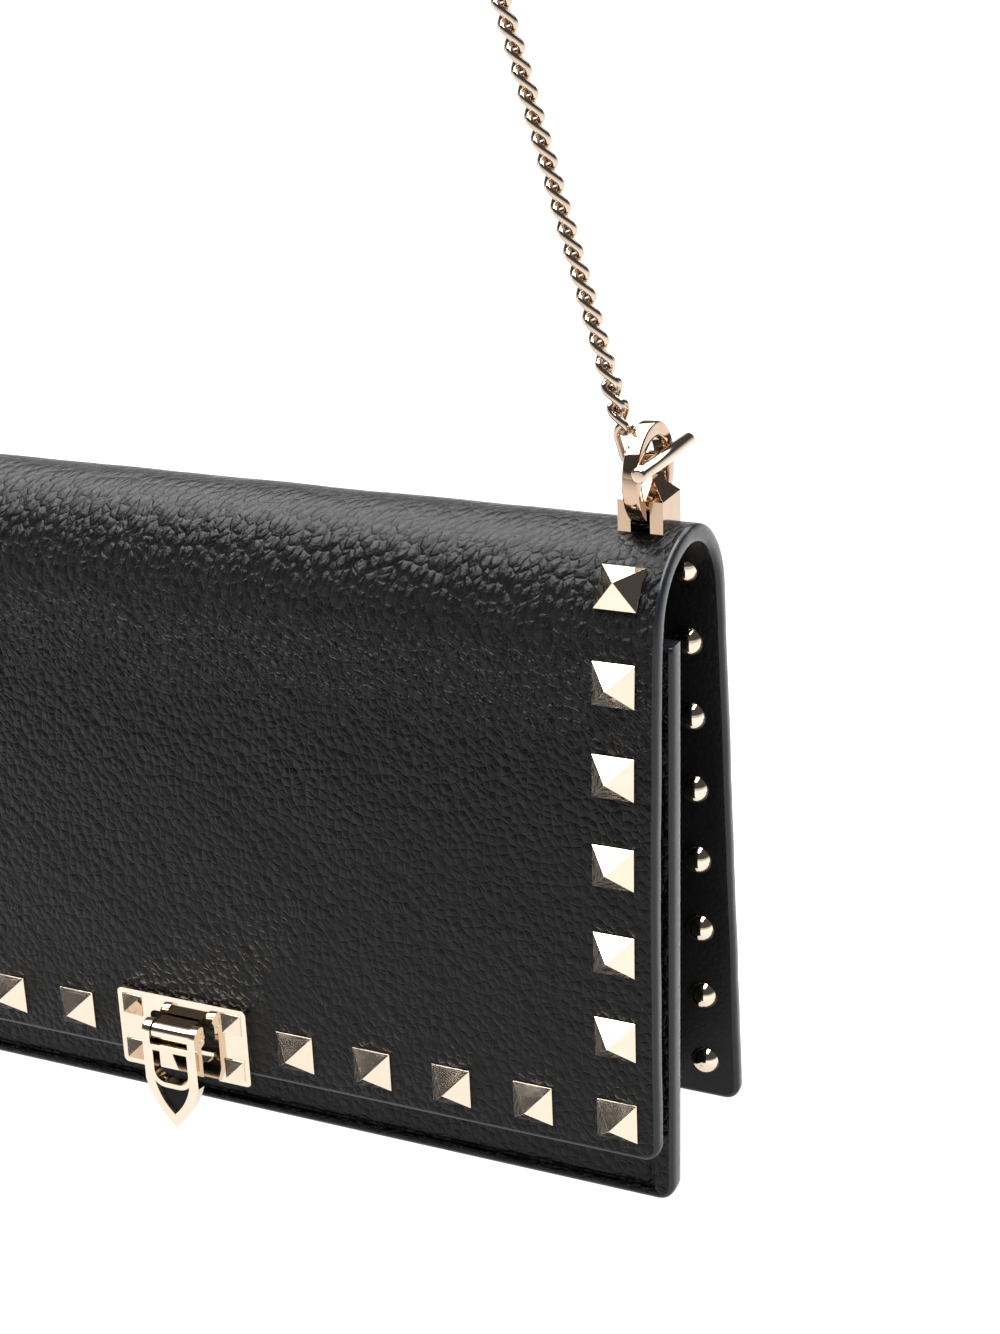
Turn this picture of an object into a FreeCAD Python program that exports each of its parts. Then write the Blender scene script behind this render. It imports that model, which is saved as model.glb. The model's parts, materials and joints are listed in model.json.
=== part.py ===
import FreeCAD
import Part
import math
import os

from FreeCAD import Vector

# Chain wallet: studded flap wallet on a chain strap, in millimetres.
# X runs across the wallet, +Y to the back, +Z up, Z = 0 under the two panels it stands on.

# Overall. REACH and ABOVE are larger than the wallet: cutting prisms run that far.
WIDTH = 191.0
CORNER_RADIUS = 3.0
REACH = 60.0
ABOVE = 130.0

# Cover: one leather sheet from the flap's lower edge, over the top, to the foot of the back
FLAP_BOTTOM = 10.5
COVER_THICKNESS = 2.0
LINING_THICKNESS = 1.2
FACING_THICKNESS = 0.8
BEND_RADIUS = 16.1
BEND_Y = -0.75
BEND_Z = 104.1
FACE_RADIUS = 1030.0
FACE_LEAN = math.radians(4.75)
BACK_LEAN = math.radians(4.4)
HINGE_ANGLE = math.radians(115.0)
FACING_TOP = 4.0
FACING_FOOT = 1.0

# Front panel of the body and its raised border
PANEL_WIDTH = 192.6
PANEL_TOP = 103.3
PANEL_FOOT_Y = -15.15
PANEL_LEAN = math.radians(2.0)
PANEL_THICKNESS = 3.0
BORDER_WIDTH = 4.0
BORDER_FOOT_WIDTH = 1.8
BORDER_THICKNESS = 0.5

# Accordion gussets and base
BASE_Z = 2.8
BASE_THICKNESS = 1.2
GUSSET_THICKNESS = 1.0
GUSSET_TOP = 98.0
GUSSET_EDGE_X = 82.0
GUSSET_FOLD_X = 71.0
GUSSET_MIDDLE_X = 78.0
PANEL_GAP = 0.4
BACK_GAP = 0.05

# Zipped centre pocket
POCKET_FRONT_Y = 1.5
POCKET_WALL = 1.0
POCKET_GAP = 5.0
POCKET_HALF_WIDTH = 73.0
POCKET_TOP = 87.7
CARD_SLOT_COUNT = 3
CARD_SLOT_WIDTH = 92.0
CARD_SLOT_FOOT = 20.0
CARD_SLOT_THICKNESS = 0.5
CARD_SLOT_STEP = 11.0
CARD_SLOT_TOP = 74.0
ZIP_HALF_LENGTH = 69.0
ZIP_TOOTH_PITCH = 1.6
ZIP_TOOTH_HEIGHT = 1.8
ZIP_TAPE_THICKNESS = 0.6
ZIP_TAPE_END = 3.0
ZIP_TAPE_INNER = 1.9
ZIP_CENTRE_GAP = 0.9
TOOTH_ROOT = 1.3
TOOTH_FLANK = 0.2
TOOTH_TIP = 0.6
STOP_SIZE = 2.0
STOP_INNER = 0.5
STOP_GAP = 0.2
SLIDER_LENGTH = 8.0
SLIDER_X = 62.0
SLIDER_PLATE = 1.0
SLIDER_CLEARANCE = 0.3
SLIDER_TOP_HALF_WIDTH = 3.0
SLIDER_UNDER_HALF_WIDTH = 2.1
SLIDER_WEB = 0.4
SLIDER_WEB_LENGTH = 2.5
CHEEK_INNER = 1.5
CHEEK_OUTER = 2.3
CHEEK_LENGTH = 3.0
PIN_LIFT = 3.2
PIN_HALF_LENGTH = 1.8
PIN_COVER = 1.2
PULL_LENGTH = 20.0
PULL_PIN_RADIUS = 0.7
PULL_EYE_RADIUS = 1.5
PULL_NECK_WIDTH = 2.6
PULL_NECK_LENGTH = 6.0
PULL_WIDTH = 5.2
PULL_THICKNESS = 1.2
PULL_CORNER = 1.6
RUNNING_CLEARANCE = 0.05

# Pyramid studs
STUD_PITCH = 16.0
STUD_SIDE = 7.5
STUD_LIP = 0.35
STUD_HEIGHT = 4.05
STUD_COLUMN_X = 88.0
STUD_FOOT_Z = 17.8
STUD_LEG_RADIUS = 1.0
LEG_HOLE = 6.0
LEG_SHORTFALL = 0.1
SADDLE_SINK = 0.45
BEND_NORMAL_Z = 0.2
BACK_STUD_X = 89.0
BACK_STUD_PITCH = 14.5
BACK_STUD_FOOT = 8.0
BACK_STUD_COUNT = 8
CAP_RADIUS = 2.8
CAP_HEIGHT = 1.9

# Flip lock
LOCK_X = 0.5
LOCK_Z = 16.9
LOCK_WIDTH = 28.0
LOCK_HEIGHT = 16.0
LOCK_PLATE = 1.4
LOCK_GAP = 0.02
LOCK_CORNER = 1.0
LOCK_WINDOW_CORNER = 1.2
LOCK_STUD_X = 10.8
LOCK_STUD_Z = 4.8
LOCK_STUD_SIDE = 4.2
LOCK_STUD_LIP = 0.2
LOCK_STUD_HEIGHT = 3.1
LOCK_WINDOW_HALF_WIDTH = 7.0
LOCK_WINDOW_LOW = 14.4
LOCK_WINDOW_HIGH = 21.4
LOCK_CHANNEL_DEPTH = 0.5
LOCK_PIN_Z = 19.4
LOCK_PIN_REACH = 4.5
LOCK_PIN_RADIUS = 0.8
BRIDGE_HALF_WIDTH = 3.95
BRIDGE_RADIUS = 1.7
BRIDGE_SLOT_GAP = 0.3
EAR_INNER = 4.1
TONGUE_HALF_WIDTH = 5.75
TONGUE_FRONT = 6.6
TONGUE_THICKNESS = 2.2
TONGUE_TIP = 0.35
TONGUE_SHOULDER = 9.7
FACET_INSET = 2.0
FACET_DEPTH = 0.7
FACET_RIM = 1.0
TONGUE_WINDOW_HALF_WIDTH = 3.7
TONGUE_WINDOW_LOW = 9.6
TONGUE_WINDOW_HIGH = 16.2
TONGUE_WINDOW_CORNER = 2.4
TIP_NARROWING = 1.35
BULGE_WIDTH = 0.64
BULGE_DROP = 0.3
LOCK_SCREW_RADIUS = 0.8
LOW_SCREW_SHARE = 0.4
SCREW_START = 0.9
INLAY_THICKNESS = 0.7
INLAY_CLEARANCE = 0.01
LOCK_BACK_INSET = 1.5
LOCK_BACK_LOW = 12.0
LOCK_BACK_TOP = 23.4
MAGNET_RADIUS = 5.0
MAGNET_Z = 36.0

# Chain posts, rings and toggle bars
POST_X = 88.0
POST_SIDE = 8.0
POST_BLOCK = 5.0
POST_PYRAMID = 4.3
POST_LIP = 0.2
TUNNEL_HALF_WIDTH = 1.7
TUNNEL_HEIGHT = 4.9
STEM_RADIUS = 1.0
STEM_X = 2.75
WASHER_RADIUS = 2.5
WASHER_THICKNESS = 1.0
RING_RADIUS = 8.5
RING_HOLE_RADIUS = 5.95
RING_THICKNESS = 2.8
RING_LIFT = 8.7
RING_ROUNDING = 0.45
BAR_RADIUS = 1.3
BAR_LENGTH = 23.0
BAR_LIFT = 2.7
BAR_ROUNDING = 0.8
EYE_WIRE = 0.65
EYE_REACH = 5.65
EYE_WIDTH = 4.0

# Chain: curb chain, pulled up by both ends and over a rounded support
CHAIN_DIAMETER = 3.6
CHAIN_LEAN = math.atan(0.285)
CHAIN_TOP = 316.0
LINK_WIRE = 0.575
LINK_LENGTH = 6.35
LINK_HALF_WIDTH = 1.6
LINK_GAP = 0.02
RUN_SHARE = 0.45

# Worked out from the sizes above
TOP_Z = BEND_Z + BEND_RADIUS
SHEET = COVER_THICKNESS + LINING_THICKNESS
FACE_Y = BEND_Y + (FACE_RADIUS - BEND_RADIUS) * math.cos(FACE_LEAN)
FACE_Z = BEND_Z - (FACE_RADIUS - BEND_RADIUS) * math.sin(FACE_LEAN)
BACK_RUN = (BEND_Z + BEND_RADIUS * math.sin(BACK_LEAN)) / math.cos(BACK_LEAN)
ZIP_Y = POCKET_FRONT_Y + POCKET_WALL + POCKET_GAP / 2
RING_Z = TOP_Z + RING_LIFT
BAR_Z = RING_Z + BAR_LIFT
BAR_X = RING_THICKNESS / 2 + BAR_RADIUS + 0.05
CAP_BALL = (CAP_RADIUS ** 2 + CAP_HEIGHT ** 2) / (2 * CAP_HEIGHT)
PIN_Z = POCKET_TOP + ZIP_TAPE_THICKNESS / 2 + ZIP_TOOTH_HEIGHT / 2 + PIN_LIFT
STEM_LENGTH = SHEET + WASHER_THICKNESS


def save(name, solids):
    shape = solids if isinstance(solids, Part.Shape) else Part.makeCompound(solids)
    shape.exportStep("parts/" + name + ".step")


def block(x0, x1, y0, y1, z0, z1):
    return Part.makeBox(x1 - x0, y1 - y0, z1 - z0, Vector(x0, y0, z0))


def polygon_prism(points, along):
    face = Part.Face(Part.makePolygon(points + [points[0]]))
    return face.extrude(along)


def mirrored(shape):
    return shape.mirror(Vector(0, 0, 0), Vector(1, 0, 0))


# ---- Cover profile: stations on the outer face and at any depth below it ----


def face_angle(z):
    """Angle, on the flap's large front arc, of the point at height z."""
    return math.pi + math.asin((FACE_Z - z) / FACE_RADIUS)


def face_point(angle, depth):
    reach = FACE_RADIUS - depth
    return Vector(0, FACE_Y + reach * math.cos(angle), FACE_Z + reach * math.sin(angle))


def bend_point(angle, depth):
    reach = BEND_RADIUS - depth
    return Vector(0, BEND_Y + reach * math.cos(angle), BEND_Z + reach * math.sin(angle))


def back_point(run, depth):
    """Point on the straight back, run mm below the end of the bend."""
    down = Vector(0, math.sin(BACK_LEAN), -math.cos(BACK_LEAN))
    return bend_point(BACK_LEAN, depth) + down * run


def front_edges(depth, low_angle, end_angle):
    """Flap line from its lower edge up the front arc and round the bend to end_angle."""
    start = math.pi - FACE_LEAN
    middle = (low_angle + start) / 2
    front = Part.Arc(face_point(low_angle, depth), face_point(middle, depth), face_point(start, depth))
    halfway = (start + end_angle) / 2
    bend = Part.Arc(bend_point(start, depth), bend_point(halfway, depth), bend_point(end_angle, depth))
    return [front.toShape(), bend.toShape()]


def rear_edges(depth, start_angle, run):
    """Cover line from start_angle on the bend, round to the back and down it by run."""
    halfway = (start_angle + BACK_LEAN) / 2
    ends = [bend_point(start_angle, depth), bend_point(BACK_LEAN, depth)]
    bend = Part.Arc(ends[0], bend_point(halfway, depth), ends[1])
    back = Part.LineSegment(ends[1], back_point(run, depth))
    return [bend.toShape(), back.toShape()]


def sheet(outer, inner):
    """Solid between two profile lines, across the wallet's width."""
    first = [outer[0].firstVertex().Point, inner[0].firstVertex().Point]
    last = [outer[-1].lastVertex().Point, inner[-1].lastVertex().Point]
    ends = [Part.LineSegment(pair[0], pair[1]).toShape() for pair in (first, last)]
    wire = Part.Wire(Part.__sortEdges__(outer + inner + ends))
    solid = Part.Face(wire).extrude(Vector(WIDTH, 0, 0))
    solid.translate(Vector(-WIDTH / 2, 0, 0))
    return solid


def outline(foot, top, width=WIDTH):
    """Rounded-corner front view of a panel, as a prism through the whole depth."""
    half = width / 2
    prism = block(-half, half, -REACH, REACH, foot, top)
    corners = [edge for edge in prism.Edges if is_foot_corner(edge, foot)]
    return prism.makeFillet(CORNER_RADIUS, corners)


def is_foot_corner(edge, foot):
    low = edge.BoundBox
    return low.YLength > REACH and abs(low.ZMin - foot) < 1e-6 and low.ZLength < 1e-6


# ---- Studs ----


def pyramid(side, lip, height):
    """Square pyramid on a thin square lip, standing on Z = 0."""
    half = side / 2
    base = block(-half, half, -half, half, 0, lip)
    signs = ((-1, -1), (1, -1), (1, 1), (-1, 1))
    corners = [Vector(sx * half, sy * half, lip) for sx, sy in signs]
    apex = Vector(0, 0, height)
    faces = [Part.Face(Part.makePolygon(corners + [corners[0]]))]
    for k in range(4):
        faces.append(Part.Face(Part.makePolygon([corners[k], corners[(k + 1) % 4], apex, corners[k]])))
    return base.fuse(Part.Solid(Part.Shell(faces))).removeSplitter()


def placed(shape, point, normal):
    """Copy of a shape that stands on Z = 0, moved to stand on point along a normal in the YZ plane."""
    turn = math.degrees(math.atan2(-normal.y, normal.z))
    copy = shape.copy()
    copy.rotate(Vector(0, 0, 0), Vector(1, 0, 0), turn)
    copy.translate(point)
    return copy


def flap_stations():
    """Outer-face points and normals of the flap's stud rows, from the foot up."""
    stations = []
    start = math.pi - FACE_LEAN
    climbed = FACE_RADIUS * (face_angle(STUD_FOOT_Z) - start)
    for row in range(7):
        run = row * STUD_PITCH
        if run < climbed:
            angle = face_angle(STUD_FOOT_Z) - run / FACE_RADIUS
            point = face_point(angle, 0)
        else:
            angle = start - (run - climbed) / BEND_RADIUS
            point = bend_point(angle, 0)
        stations.append((point, Vector(0, math.cos(angle), math.sin(angle))))
    return stations


def flap_stud_places():
    places = []
    stations = flap_stations()
    for side in (-1, 1):
        for point, normal in stations:
            places.append((Vector(side * STUD_COLUMN_X, point.y, point.z), normal))
        for column in range(1, 5):
            x = side * (STUD_COLUMN_X - column * STUD_PITCH)
            point, normal = stations[0]
            places.append((Vector(x, point.y, point.z), normal))
    return places


def back_stud_places(depth):
    places = []
    for k in range(BACK_STUD_COUNT):
        run = BACK_RUN - BACK_STUD_FOOT - k * BACK_STUD_PITCH
        angle = BACK_LEAN if run > 0 else BACK_LEAN - run / BEND_RADIUS
        point = back_point(run, depth) if run > 0 else bend_point(angle, depth)
        normal = Vector(0, math.cos(angle), math.sin(angle))
        for side in (-1, 1):
            places.append((Vector(side * BACK_STUD_X, point.y, point.z), normal))
    return places


def leg(length):
    return Part.makeCylinder(STUD_LEG_RADIUS, length, Vector(0, 0, -length))


def drilled(shape, tools):
    return shape.cut(Part.makeCompound(tools))


def stud_set(places, leg_length):
    """A stud with a leg at each place. On the bend the stud's foot is hollowed to sit on the leather."""
    flat = pyramid(STUD_SIDE, STUD_LIP, STUD_HEIGHT)
    saddle = pyramid(STUD_SIDE, STUD_LIP + SADDLE_SINK, STUD_HEIGHT)
    saddle.translate(Vector(0, 0, -SADDLE_SINK))
    roll = Part.makeCylinder(BEND_RADIUS, 2 * STUD_SIDE, Vector(-STUD_SIDE, 0, -BEND_RADIUS), Vector(1, 0, 0))
    saddle = saddle.cut(roll)
    studs = []
    for point, normal in places:
        top = saddle if normal.z > BEND_NORMAL_Z else flat
        studs.append(placed(top.fuse(leg(leg_length)), point, normal))
    return studs


def make_flap_studs():
    return stud_set(flap_stud_places(), COVER_THICKNESS - LEG_SHORTFALL)


def make_back_studs():
    return stud_set(back_stud_places(0), COVER_THICKNESS + FACING_THICKNESS)


def make_back_rivet_caps():
    """Domed caps that close the back studs' legs, inside the wallet."""
    ball = Part.makeSphere(CAP_BALL, Vector(0, 0, CAP_BALL - CAP_HEIGHT))
    dome = ball.common(Part.makeCylinder(CAP_BALL, 2 * CAP_BALL, Vector(0, 0, -2 * CAP_BALL)))
    caps = []
    for point, normal in back_stud_places(COVER_THICKNESS + FACING_THICKNESS):
        caps.append(placed(dome, point, normal))
    return caps


# ---- Cover and its linings ----


def lock_y(reach):
    """Y of a plane that stands reach mm in front of the flap's face at the lock."""
    return face_point(face_angle(LOCK_Z), 0).y - reach


def lock_screw_cylinders(depth, length):
    """The lock's four screw axes as cylinders that run back from depth mm behind the flap's face."""
    cylinders = []
    for side in (-1, 1):
        for share in (-LOW_SCREW_SHARE, 1):
            start = Vector(LOCK_X + side * LOCK_STUD_X, lock_y(-depth), LOCK_Z + share * LOCK_STUD_Z)
            cylinders.append(Part.makeCylinder(LOCK_SCREW_RADIUS, length, start, Vector(0, 1, 0)))
    return cylinders


def behind_cover_y(low, top):
    """Y just behind the flap's cover leather for a flat piece between two heights."""
    ends = [face_point(face_angle(z), COVER_THICKNESS).y for z in (low, top)]
    return max(ends) + INLAY_CLEARANCE


def lock_back_y():
    return behind_cover_y(LOCK_BACK_LOW, LOCK_BACK_TOP)


def lock_back_plate_block(front_room):
    """Back plate, or with front_room the pocket for it in the lining."""
    half_width = LOCK_WIDTH / 2 - LOCK_BACK_INSET
    back = lock_back_y() + INLAY_THICKNESS
    front = lock_back_y() - front_room
    return block(LOCK_X - half_width, LOCK_X + half_width, front, back, LOCK_BACK_LOW, LOCK_BACK_TOP)


def flap_magnet_disc(front_room):
    """Flap magnet, or with front_room the pocket for it in the lining."""
    front = behind_cover_y(MAGNET_Z - MAGNET_RADIUS, MAGNET_Z + MAGNET_RADIUS) - front_room
    start = Vector(0, front, MAGNET_Z)
    return Part.makeCylinder(MAGNET_RADIUS, INLAY_THICKNESS + front_room, start, Vector(0, 1, 0))


def make_flap_panel():
    low = face_angle(FLAP_BOTTOM - 1)
    panel = sheet(front_edges(0, low, HINGE_ANGLE), front_edges(COVER_THICKNESS, low, HINGE_ANGLE))
    panel = panel.common(outline(FLAP_BOTTOM, ABOVE))
    holes = [placed(leg(LEG_HOLE), point, normal) for point, normal in flap_stud_places()]
    holes += lock_screw_cylinders(-1, LEG_HOLE)
    return drilled(panel, holes + [lock_bridge_block()])


def make_flap_lining():
    low = face_angle(FLAP_BOTTOM - 1)
    lining = sheet(front_edges(COVER_THICKNESS, low, HINGE_ANGLE), front_edges(SHEET, low, HINGE_ANGLE))
    lining = lining.common(outline(FLAP_BOTTOM, ABOVE))
    return drilled(lining, [lock_back_plate_block(1.0), flap_magnet_disc(1.0)])


def make_back_panel():
    run = BACK_RUN + 1
    panel = sheet(rear_edges(0, HINGE_ANGLE, run), rear_edges(COVER_THICKNESS, HINGE_ANGLE, run))
    panel = panel.common(outline(0, ABOVE))
    holes = [placed(leg(LEG_HOLE), point, normal) for point, normal in back_stud_places(0)]
    return drilled(panel, holes + post_stems())


def make_roof_lining():
    edges = [rear_edges(depth, HINGE_ANGLE, FACING_TOP) for depth in (COVER_THICKNESS, SHEET)]
    holes = [placed(leg(LEG_HOLE), point, normal) for point, normal in back_stud_places(0)[-2:]]
    caps = make_back_rivet_caps()[-2:]
    return drilled(sheet(edges[0], edges[1]), holes + caps + post_stems())


def make_back_facing():
    near, far = COVER_THICKNESS, COVER_THICKNESS + FACING_THICKNESS
    top, foot = FACING_TOP, BACK_RUN - FACING_FOOT
    corners = [(top, near), (foot, near), (foot, far), (top, far)]
    facing = polygon_prism([back_point(run, depth) for run, depth in corners], Vector(WIDTH, 0, 0))
    facing.translate(Vector(-WIDTH / 2, 0, 0))
    facing = facing.common(outline(0, ABOVE))
    holes = [placed(leg(LEG_HOLE), point, normal) for point, normal in back_stud_places(0)]
    return drilled(facing, holes)


# ---- Front panel ----


def panel_y(z, depth):
    return PANEL_FOOT_Y + z * math.tan(PANEL_LEAN) + depth


def slanted_plate(half_width, z0, z1, depth0, depth1):
    """Plate parallel to the front panel, between two depths behind its face."""
    corners = [(z0, depth0), (z1, depth0), (z1, depth1), (z0, depth1)]
    points = [Vector(-half_width, panel_y(z, depth), z) for z, depth in corners]
    return polygon_prism(points, Vector(2 * half_width, 0, 0))


def body_magnet_disc():
    y = panel_y(MAGNET_Z, PANEL_THICKNESS)
    return Part.makeCylinder(MAGNET_RADIUS, 1.6, Vector(0, y + 0.3, MAGNET_Z), Vector(0, -1, 0))


def make_front_panel():
    panel = slanted_plate(PANEL_WIDTH / 2, 0, PANEL_TOP, 0, PANEL_THICKNESS)
    return drilled(panel.common(outline(0, ABOVE, PANEL_WIDTH)), [body_magnet_disc()])


def make_front_lining():
    depth = PANEL_THICKNESS + FACING_THICKNESS
    lining = slanted_plate(WIDTH / 2 - 1, FACING_FOOT, PANEL_TOP, PANEL_THICKNESS, depth)
    return drilled(lining.common(outline(FACING_FOOT / 2, ABOVE)), [body_magnet_disc()])


def make_front_border():
    """Raised strip round the sides and foot of the front panel."""
    strip = slanted_plate(PANEL_WIDTH / 2, 0, PANEL_TOP, -BORDER_THICKNESS, 0)
    strip = strip.common(outline(0, ABOVE, PANEL_WIDTH))
    inner = PANEL_WIDTH / 2 - BORDER_WIDTH
    return strip.cut(block(-inner, inner, -REACH, REACH, BORDER_FOOT_WIDTH, ABOVE))


# ---- Gussets, base and centre pocket ----


def back_inner_y(z):
    run = (bend_point(BACK_LEAN, 0).z - z) / math.cos(BACK_LEAN)
    return back_point(run, COVER_THICKNESS + FACING_THICKNESS).y


def gusset_section(z):
    """Plan of the right gusset at height z: a strip folded like a W."""
    front = panel_y(z, PANEL_THICKNESS + FACING_THICKNESS) + PANEL_GAP
    back = back_inner_y(z) - BACK_GAP
    pocket = [POCKET_FRONT_Y, POCKET_FRONT_Y + 2 * POCKET_WALL + POCKET_GAP]
    folds = [
        (GUSSET_EDGE_X, front),
        (GUSSET_FOLD_X, (front + pocket[0]) / 2),
        (GUSSET_MIDDLE_X, (pocket[0] + pocket[1]) / 2),
        (GUSSET_FOLD_X, (back + pocket[1]) / 2),
        (GUSSET_EDGE_X, back),
    ]
    outer = [Vector(x, y, z) for x, y in folds]
    inner = [Vector(x - GUSSET_THICKNESS, y, z) for x, y in reversed(folds)]
    return Part.makePolygon(outer + inner + [outer[0]])


def make_gusset_right():
    low = BASE_Z + BASE_THICKNESS
    return Part.makeLoft([gusset_section(low), gusset_section(GUSSET_TOP)], True, True)


def make_base_gusset():
    top = BASE_Z + BASE_THICKNESS
    front = panel_y(top, PANEL_THICKNESS + FACING_THICKNESS) + PANEL_GAP
    back = back_inner_y(top) - BACK_GAP
    return block(-GUSSET_EDGE_X, GUSSET_EDGE_X, front, back, BASE_Z, top)


def make_pocket_wall(y):
    low = BASE_Z + BASE_THICKNESS
    return block(-POCKET_HALF_WIDTH, POCKET_HALF_WIDTH, y, y + POCKET_WALL, low, POCKET_TOP)


def make_card_slot(k):
    """Slot sheet k of the stack in front of the pocket, each lower than the one behind it."""
    half = CARD_SLOT_WIDTH / 2
    back = POCKET_FRONT_Y - k * CARD_SLOT_THICKNESS
    top = CARD_SLOT_TOP - k * CARD_SLOT_STEP
    return block(-half, half, back - CARD_SLOT_THICKNESS, back, CARD_SLOT_FOOT, top)


# ---- Zip ----


def tooth_comb(side):
    """One row of zip teeth on its cord, as a comb that stops short of the centre line."""
    z = POCKET_TOP + ZIP_TAPE_THICKNESS / 2 - ZIP_TOOTH_HEIGHT / 2
    tip = ZIP_CENTRE_GAP / 2
    tip_end = TOOTH_FLANK + TOOTH_TIP
    tooth = [(0, TOOTH_ROOT), (TOOTH_FLANK, tip), (tip_end, tip), (tip_end + TOOTH_FLANK, TOOTH_ROOT)]
    count = int(2 * ZIP_HALF_LENGTH / ZIP_TOOTH_PITCH)
    end = count * ZIP_TOOTH_PITCH
    plan = [(0, ZIP_TAPE_INNER)]
    for k in range(count):
        plan += [(k * ZIP_TOOTH_PITCH + x, y) for x, y in tooth]
    plan += [(end, TOOTH_ROOT), (end, ZIP_TAPE_INNER)]
    points = [Vector(x - ZIP_HALF_LENGTH, side * y, z) for x, y in plan]
    comb = polygon_prism(points, Vector(0, 0, ZIP_TOOTH_HEIGHT))
    comb.translate(Vector(0, ZIP_Y, 0))
    return comb


def make_zip_tape(side):
    half = ZIP_HALF_LENGTH + ZIP_TAPE_END
    outer = POCKET_GAP / 2 + POCKET_WALL
    y0, y1 = sorted((ZIP_Y + side * ZIP_TAPE_INNER, ZIP_Y + side * outer))
    return block(-half, half, y0, y1, POCKET_TOP, POCKET_TOP + ZIP_TAPE_THICKNESS)


def make_zip_stops():
    reach = STOP_SIZE / 2
    middle = POCKET_TOP + ZIP_TAPE_THICKNESS / 2
    stops = []
    for end in (-1, 1):
        x = end * (ZIP_HALF_LENGTH + STOP_GAP + reach)
        for side in (-1, 1):
            y0, y1 = sorted((ZIP_Y + side * STOP_INNER, ZIP_Y + side * ZIP_TAPE_INNER))
            stops.append(block(x - reach, x + reach, y0, y1, middle - reach, middle + reach))
    return stops


def make_zip_slider():
    """Two plates above and below the teeth, a thin web between them, two cheeks and a cross pin on top."""
    middle = POCKET_TOP + ZIP_TAPE_THICKNESS / 2
    x0, x1 = SLIDER_X - SLIDER_LENGTH / 2, SLIDER_X + SLIDER_LENGTH / 2
    clear = ZIP_TOOTH_HEIGHT / 2 + SLIDER_CLEARANCE
    low, high = middle - clear, middle + clear
    wide, narrow, web = SLIDER_TOP_HALF_WIDTH, SLIDER_UNDER_HALF_WIDTH, SLIDER_WEB / 2
    parts = [
        block(x0, x1, ZIP_Y - narrow, ZIP_Y + narrow, low - SLIDER_PLATE, low),
        block(x1 - SLIDER_WEB_LENGTH, x1, ZIP_Y - web, ZIP_Y + web, low, high),
    ]
    for side in (-1, 1):
        y0, y1 = sorted((ZIP_Y + side * CHEEK_INNER, ZIP_Y + side * CHEEK_OUTER))
        cheek_x0, cheek_x1 = SLIDER_X - CHEEK_LENGTH / 2, SLIDER_X + CHEEK_LENGTH / 2
        parts.append(block(cheek_x0, cheek_x1, y0, y1, high + SLIDER_PLATE, PIN_Z + PIN_COVER))
    parts.append(pull_pin(PULL_PIN_RADIUS, PIN_HALF_LENGTH))
    upper = block(x0, x1, ZIP_Y - wide, ZIP_Y + wide, high, high + SLIDER_PLATE)
    return upper.fuse(parts).removeSplitter()


def pull_pin(radius, half_length):
    start = Vector(SLIDER_X, ZIP_Y - half_length, PIN_Z)
    return Part.makeCylinder(radius, 2 * half_length, start, Vector(0, 1, 0))


def make_zip_pull():
    """Flat tab with an eye round the slider's pin, lying back along the zip."""
    low, high = PIN_Z - PULL_THICKNESS / 2, PIN_Z + PULL_THICKNESS / 2
    eye = pull_pin(PULL_EYE_RADIUS, PULL_NECK_WIDTH / 2)
    reach = PULL_NECK_WIDTH / 2
    neck = block(SLIDER_X - PULL_NECK_LENGTH, SLIDER_X, ZIP_Y - reach, ZIP_Y + reach, low, high)
    reach = PULL_WIDTH / 2
    tab_end = SLIDER_X - PULL_NECK_LENGTH + 1
    tab = block(SLIDER_X - PULL_LENGTH, tab_end, ZIP_Y - reach, ZIP_Y + reach, low, high)
    ends = [edge for edge in tab.Edges if edge.BoundBox.ZLength > 1]
    tab = tab.makeFillet(PULL_CORNER, ends)
    return eye.fuse([neck, tab]).cut(pull_pin(PULL_PIN_RADIUS + RUNNING_CLEARANCE, PULL_NECK_WIDTH))


# ---- Flip lock ----


def lock_bridge_block():
    """Arm of the bridge that comes out through the lock plate's window."""
    front = lock_y(LOCK_PIN_REACH)
    back = lock_back_y()
    z0, z1 = LOCK_PIN_Z - BRIDGE_RADIUS, LOCK_PIN_Z + BRIDGE_RADIUS
    return block(LOCK_X - BRIDGE_HALF_WIDTH, LOCK_X + BRIDGE_HALF_WIDTH, front, back, z0, z1)


def pin_cylinder(radius, half_length):
    start = Vector(LOCK_X - half_length, lock_y(LOCK_PIN_REACH), LOCK_PIN_Z)
    return Part.makeCylinder(radius, 2 * half_length, start, Vector(1, 0, 0))


def make_lock_bridge():
    barrel = pin_cylinder(BRIDGE_RADIUS, BRIDGE_HALF_WIDTH)
    bridge = lock_bridge_block().fuse(barrel).removeSplitter()
    return bridge.cut(pin_cylinder(LOCK_PIN_RADIUS, BRIDGE_HALF_WIDTH + 1))


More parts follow.
